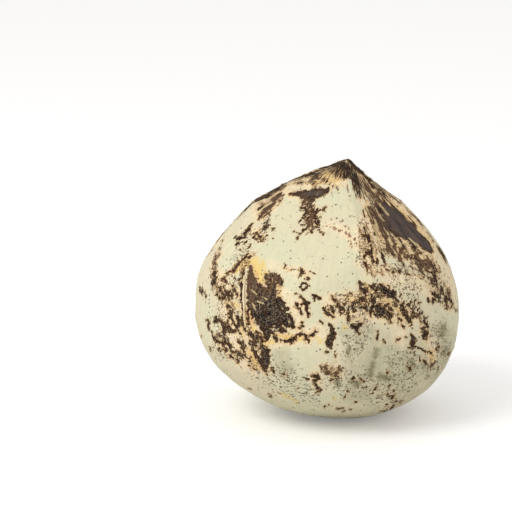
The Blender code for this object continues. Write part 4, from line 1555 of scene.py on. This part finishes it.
stops = np.array(SPLINTER_LINE)
positions = np.linspace(0, len(stops) - 1, (len(stops) - 1) * RINGS_PER_STEP + 1)
xs = np.interp(positions, range(len(stops)), stops[:, 0])
ys = np.interp(positions, range(len(stops)), stops[:, 1])
halves = np.interp(positions, range(len(stops)), SPLINTER_HALF_WIDTH) * PIXEL
bed = np.array([skin_at(x, y) for x, y in zip(xs, ys)])
bed_out = (bed - MIDDLE) / np.linalg.norm(bed - MIDDLE, axis=1)[:, None]
rise_along = np.sin(np.linspace(0.1, np.pi, len(bed))) ** 0.5
spine = bed + bed_out * (SPLINTER_LIFT * rise_along - SKIN_INSET)[:, None]
ahead = np.gradient(spine, axis=0)
ahead /= np.linalg.norm(ahead, axis=1)[:, None]
sideways = np.cross(bed_out, ahead)

splinter_bm = bmesh.new()
rings = []
for at, out, side, half, share in zip(spine, bed_out, sideways, halves, rise_along):
    thickness = SPLINTER_THICKNESS * (0.3 + 0.7 * share)
    ring = []
    for angle in np.arange(SIDES) * np.pi / 3:
        spot = at + side * half * np.cos(angle) + out * thickness * np.sin(angle)
        ring.append(splinter_bm.verts.new(spot))
    rings.append(ring)
for first, second in zip(rings, rings[1:]):
    for a in range(SIDES):
        b = (a + 1) % SIDES
        splinter_bm.faces.new((first[a], first[b], second[b], second[a]))
splinter_bm.faces.new(rings[0][::-1])
splinter_bm.faces.new(rings[-1])
bmesh.ops.recalc_face_normals(splinter_bm, faces=splinter_bm.faces)
splinter_mesh = bpy.data.meshes.new("husk_splinter")
splinter_bm.to_mesh(splinter_mesh)
splinter_bm.free()
splinter_mesh.shade_smooth()
splinter = object_of("husk_splinter", splinter_mesh)

wood = bpy.data.materials.new("pale splinter")
wood.use_nodes = True
wood_tree = wood.node_tree
wood_place = add(wood_tree, "ShaderNodeTexCoord").outputs["Object"]
wood_feeds = {"Fibre": wood_place, "Grain": 1600.0, "Stretch": 0.08}
wood_threads = use_group(wood_tree, streaks, wood_feeds).outputs[0]
wood_cloud = soft_noise(wood_tree, wood_place, 300.0, 3.0)
tan_share = smooth_step(wood_tree, wood_threads, 0.40, 0.66)
wood_colour = blend_colours(wood_tree, tan_share, SPLINTER_PALE, SPLINTER_TAN)
brown_spots = smooth_step(wood_tree, wood_cloud, 0.56, 0.70)
wood_colour = blend_colours(wood_tree, brown_spots, wood_colour, SPLINTER_BROWN)
wood_shader = wood_tree.nodes["Principled BSDF"]
wood_tree.links.new(wood_colour, wood_shader.inputs["Base Color"])
wood_rough = ramp(wood_tree, wood_cloud, 0.0, 1.0, 0.6, 0.8)
wood_tree.links.new(wood_rough, wood_shader.inputs["Roughness"])
wood_bump = add(wood_tree, "ShaderNodeBump",
                {"Distance": 1.0, "Height": sums(wood_tree, "MULTIPLY", wood_threads, 0.0001)})
wood_tree.links.new(wood_bump.outputs[0], wood_shader.inputs["Normal"])
splinter_mesh.materials.append(wood)
print("splinter length, mm:", round(MM * np.linalg.norm(np.diff(spine, axis=0), axis=1).sum(), 1))

# %% [markdown]
# ## Loose fibres and crumbs
#
# Wherever the knife or the fire broke the husk, short stiff fibres stand off it, and the char sheds
# crumbs. Both repeat hundreds of times, so Geometry Nodes scatter them. One tree makes a thin curved
# fibre, spreads copies over the nut where a column named `fray` is high, turns each one along the grain
# and makes them all real. Another does the same with flattened crumbs where `crumble` is high.

# %% Where they lie
fray = 0.9 * ease(*CHARRED, depth_of({**TIP_CHAR, **RIGHT_CHAR}) * MM)
fray += 1.4 * near_tip + 0.5 * ease(-0.4, 0.2, fields["pale"]) + 0.25 * ease(0.0, 2.0, fields["toast"])
fray += 0.5 * charred
fray *= ease(0.0, 0.02, form[:, 2])
crumble = ease(0.1, 0.9, fields["char"]) * ease(0.0, 0.02, form[:, 2])
write_column("fray", fray)
write_column("crumble", crumble)
print("frayed share:", round(float(fray.mean()), 3))

# %% [markdown]
# The two trees share a shape: scatter points, turn the pieces, make them real, give them a material. Their
# sizes and densities are named inputs, so the same tree can be tried with other numbers.

# %% Trees that scatter
FIBRE_LENGTH = 0.0030
FIBRE_THICKNESS = 0.00007
FIBRE_DENSITY = 30000.0     # to a square metre, where fray is 1
CRUMB_SIZE = 0.00032
CRUMB_DENSITY = 200000.0
FIBRE_SEED = 5
CRUMB_SEED = 8
LEAST_TILT, MOST_TILT = (-0.10, -0.30, -0.45), (0.28, 0.30, 0.45)     # radians
SMALLEST, LARGEST = 0.45, 1.35


def scatter_tree(name, density_column, piece_maker, inputs):
    """A tree that scatters what piece_maker makes over a mesh, along the grain."""
    group = bpy.data.node_groups.new(name, "GeometryNodeTree")
    group.interface.new_socket("Geometry", in_out="INPUT", socket_type="NodeSocketGeometry")
    for label, kind in inputs:
        group.interface.new_socket(label, in_out="INPUT", socket_type=kind)
    group.interface.new_socket("Geometry", in_out="OUTPUT", socket_type="NodeSocketGeometry")
    start, end = group.nodes.new("NodeGroupInput"), group.nodes.new("NodeGroupOutput")
    share = add(group, "GeometryNodeInputNamedAttribute", {"Name": density_column}, data_type="FLOAT")
    density = add(group, "ShaderNodeMath", {0: share.outputs[0], 1: start.outputs["Density"]},
                  operation="MULTIPLY")
    spread = {"Mesh": start.outputs["Geometry"], "Density": density.outputs[0], "Seed": start.outputs["Seed"]}
    points = add(group, "GeometryNodeDistributePointsOnFaces", spread)
    downhill_now = add(group, "GeometryNodeInputNamedAttribute", {"Name": "grain"}, data_type="FLOAT_VECTOR")
    upright = add(group, "FunctionNodeAlignRotationToVector", {"Vector": points.outputs["Normal"]}, axis="Z")
    along_grain = {"Rotation": upright.outputs[0], "Vector": downhill_now.outputs[0]}
    turned = add(group, "FunctionNodeAlignRotationToVector", along_grain, axis="Y", pivot_axis="Z")
    tilt = add(group, "FunctionNodeRandomValue",
               {"Min": LEAST_TILT, "Max": MOST_TILT, "Seed": start.outputs["Seed"]}, data_type="FLOAT_VECTOR")
    as_turn = add(group, "FunctionNodeEulerToRotation", {0: tilt.outputs[0]})
    swung = add(group, "FunctionNodeRotateRotation", {0: turned.outputs[0], 1: as_turn.outputs[0]},
                rotation_space="LOCAL")
    sizes = add(group, "FunctionNodeRandomValue",
                {2: SMALLEST, 3: LARGEST, "Seed": start.outputs["Seed"]}, data_type="FLOAT")
    placed = add(group, "GeometryNodeInstanceOnPoints",
                 {"Points": points.outputs["Points"], "Instance": piece_maker(group, start),
                  "Rotation": swung.outputs[0], "Scale": sizes.outputs[1]})
    real = add(group, "GeometryNodeRealizeInstances", {0: placed.outputs[0]})
    dressed = add(group, "GeometryNodeSetMaterial",
                  {"Geometry": real.outputs[0], "Material": start.outputs["Material"]})
    group.links.new(dressed.outputs[0], end.inputs[0])
    return group


def one_fibre(group, start):
    """A thin three-sided thread that arches a little, one fibre long."""
    half = sums(group, "MULTIPLY", start.outputs["Length"], 0.5)
    top = sums(group, "MULTIPLY", start.outputs["Length"], 0.12)
    middle = add(group, "ShaderNodeCombineXYZ", {1: half, 2: top})
    tip = add(group, "ShaderNodeCombineXYZ", {1: start.outputs["Length"]})
    line = add(group, "GeometryNodeCurveQuadraticBezier",
               {"Resolution": 5, "Start": (0, 0, 0), "Middle": middle.outputs[0], "End": tip.outputs[0]})
    profile = add(group, "GeometryNodeCurvePrimitiveCircle",
                  {"Resolution": 3, "Radius": start.outputs["Thickness"]})
    tube = add(group, "GeometryNodeCurveToMesh",
               {"Curve": line.outputs[0], "Profile Curve": profile.outputs[0], "Fill Caps": True})
    return tube.outputs[0]


def one_crumb(group, start):
    """A low, flattened lump."""
    ball = add(group, "GeometryNodeMeshIcoSphere", {"Radius": start.outputs["Length"], "Subdivisions": 1})
    flat = add(group, "GeometryNodeTransform", {"Geometry": ball.outputs[0], "Scale": (0.8, 1.2, 0.32)})
    return flat.outputs[0]


SIZES = (("Length", "NodeSocketFloat"), ("Thickness", "NodeSocketFloat"), ("Density", "NodeSocketFloat"),
         ("Seed", "NodeSocketInt"), ("Material", "NodeSocketMaterial"))
fibre_tree = scatter_tree("loose fibres", "fray", one_fibre, SIZES)
crumb_tree = scatter_tree("char crumbs", "crumble", one_crumb, SIZES)
print("trees:", fibre_tree.name, crumb_tree.name)

# %% [markdown]
# A modifier grows the pieces on a copy of the nut. Its inputs are set by each socket's identifier before
# Blender first works it out. The result is taken as a plain mesh, and the copy is thrown away.

# %% Fibres and crumbs


def thread_material(name, pale, dark, low, high):
    """Dry fibre or crumb: two colours in a small cloud, matt, with a little grain."""
    material = bpy.data.materials.new(name)
    material.use_nodes = True
    nodes = material.node_tree
    spot = add(nodes, "ShaderNodeTexCoord").outputs["Object"]
    cloud_here = soft_noise(nodes, spot, 240.0, 3.0)
    grain_feeds = {"Place": spot, "Grain": 2400.0, "Share": 0.5, "Size": 0.4}
    grain_here = use_group(nodes, specks, grain_feeds).outputs[0]
    colour = blend_colours(nodes, smooth_step(nodes, cloud_here, low, high), pale, dark)
    shader = nodes.nodes["Principled BSDF"]
    nodes.links.new(colour, shader.inputs["Base Color"])
    nodes.links.new(ramp(nodes, cloud_here, 0.0, 1.0, 0.7, 0.9), shader.inputs["Roughness"])
    low_bump = add(nodes, "ShaderNodeBump",
                   {"Distance": 1.0, "Height": sums(nodes, "MULTIPLY", grain_here, 0.00003)})
    nodes.links.new(low_bump.outputs[0], shader.inputs["Normal"])
    return material


def grow(name, group, values):
    """The pieces that the tree grows on the nut, as one plain mesh object."""
    bearer = object_of("bearer", nut_mesh.copy())
    modifier = bearer.modifiers.new("grow", "NODES")
    modifier.node_group = group
    for item in group.interface.items_tree:
        if item.in_out == "INPUT" and item.name in values:
            modifier[item.identifier] = values[item.name]
    graph = bpy.context.evaluated_depsgraph_get()
    mesh = bpy.data.meshes.new_from_object(bearer.evaluated_get(graph), depsgraph=graph)
    bearer.modifiers.clear()
    bpy.data.objects.remove(bearer)
    mesh.name = name
    corners = np.zeros(len(mesh.vertices) * 3, np.float32)
    mesh.vertices.foreach_get("co", corners)
    lowest, highest = np.array(plain_low, np.float32), np.array(plain_high, np.float32)
    corners = np.clip(corners.reshape(-1, 3), lowest, highest)
    mesh.vertices.foreach_set("co", corners.ravel())
    mesh.update()
    print(name, "faces:", len(mesh.polygons))
    return object_of(name, mesh)


dry_fibre = thread_material("dry fibre", paint(226, 204, 156), paint(120, 84, 52), 0.46, 0.60)
char_crumb = thread_material("char crumb", paint(44, 35, 32), paint(92, 66, 48), 0.50, 0.66)
fibres = grow("loose_fibres", fibre_tree, {
    "Length": FIBRE_LENGTH, "Thickness": FIBRE_THICKNESS, "Density": FIBRE_DENSITY, "Seed": FIBRE_SEED,
    "Material": dry_fibre,
})
crumbs = grow("char_crumbs", crumb_tree, {
    "Length": CRUMB_SIZE, "Thickness": CRUMB_SIZE, "Density": CRUMB_DENSITY, "Seed": CRUMB_SEED,
    "Material": char_crumb,
})

# %% [markdown]
# ## The studio
#
# The photograph has a white ground and soft light from high on the left. A wide pale floor fills the
# view, a bright sky fills the shadows, and one large lamp gives the nut its light and dark sides.

# %% Floor, sky and lamp
FLOOR_SIZE = 8.0
FLOOR_COLOUR = (0.86, 0.86, 0.87, 1)
FLOOR_GLOW = 0.18     # only the eye sees it, so that the floor looks white and still throws little light up
SKY_STRENGTH = 0.86
KEY_PLACE = (-0.85, -0.70, 1.10)
KEY_SIZE = 0.8
KEY_POWER = 10.0
KEY_AIM = (0, 0, 0.06)
KEY_COLOUR = (1.0, 0.985, 0.96)
SKY_COLOUR = (1.0, 0.99, 0.97, 1)

floor_mesh = bpy.data.meshes.new("floor")
half_floor = FLOOR_SIZE / 2
floor_mesh.from_pydata(
    [(-half_floor, -half_floor, 0), (half_floor, -half_floor, 0), (half_floor, half_floor, 0),
     (-half_floor, half_floor, 0)], [], [(0, 1, 2, 3)])
floor = object_of("floor", floor_mesh)
floor_paint = bpy.data.materials.new("pale floor")
floor_paint.use_nodes = True
floor_shader = floor_paint.node_tree.nodes["Principled BSDF"]
floor_shader.inputs["Base Color"].default_value = FLOOR_COLOUR
floor_shader.inputs["Roughness"].default_value = 0.9
floor_shader.inputs["Emission Color"].default_value = (1, 1, 1, 1)
eye_only = add(floor_paint.node_tree, "ShaderNodeLightPath").outputs["Is Camera Ray"]
floor_paint.node_tree.links.new(sums(floor_paint.node_tree, "MULTIPLY", eye_only, FLOOR_GLOW),
                                floor_shader.inputs["Emission Strength"])
floor_mesh.materials.append(floor_paint)

sky = bpy.data.worlds.new("sky")
sky.use_nodes = True
sky.node_tree.nodes["Background"].inputs[0].default_value = SKY_COLOUR
sky.node_tree.nodes["Background"].inputs[1].default_value = SKY_STRENGTH
bpy.context.scene.world = sky

lamp_data = bpy.data.lights.new("key", "AREA")
lamp_data.shape = "DISK"
lamp_data.size = KEY_SIZE
lamp_data.energy = KEY_POWER
lamp_data.color = KEY_COLOUR
lamp = object_of("key", lamp_data)
lamp.location = KEY_PLACE
lamp.rotation_euler = (Vector(KEY_AIM) - Vector(KEY_PLACE)).to_track_quat("-Z", "Y").to_euler()
bpy.context.scene.view_settings.view_transform = "Standard"
bpy.context.scene.view_settings.look = "None"
print("studio ready")

# %% [markdown]
# ## Handing over
#
# Each piece rides on the nut's one body, and the dressed skin takes the place of the plain model.

# %% Ride, replace and finish
for piece in (nut, splinter, fibres, crumbs):
    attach(piece, "root")
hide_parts("coconut")
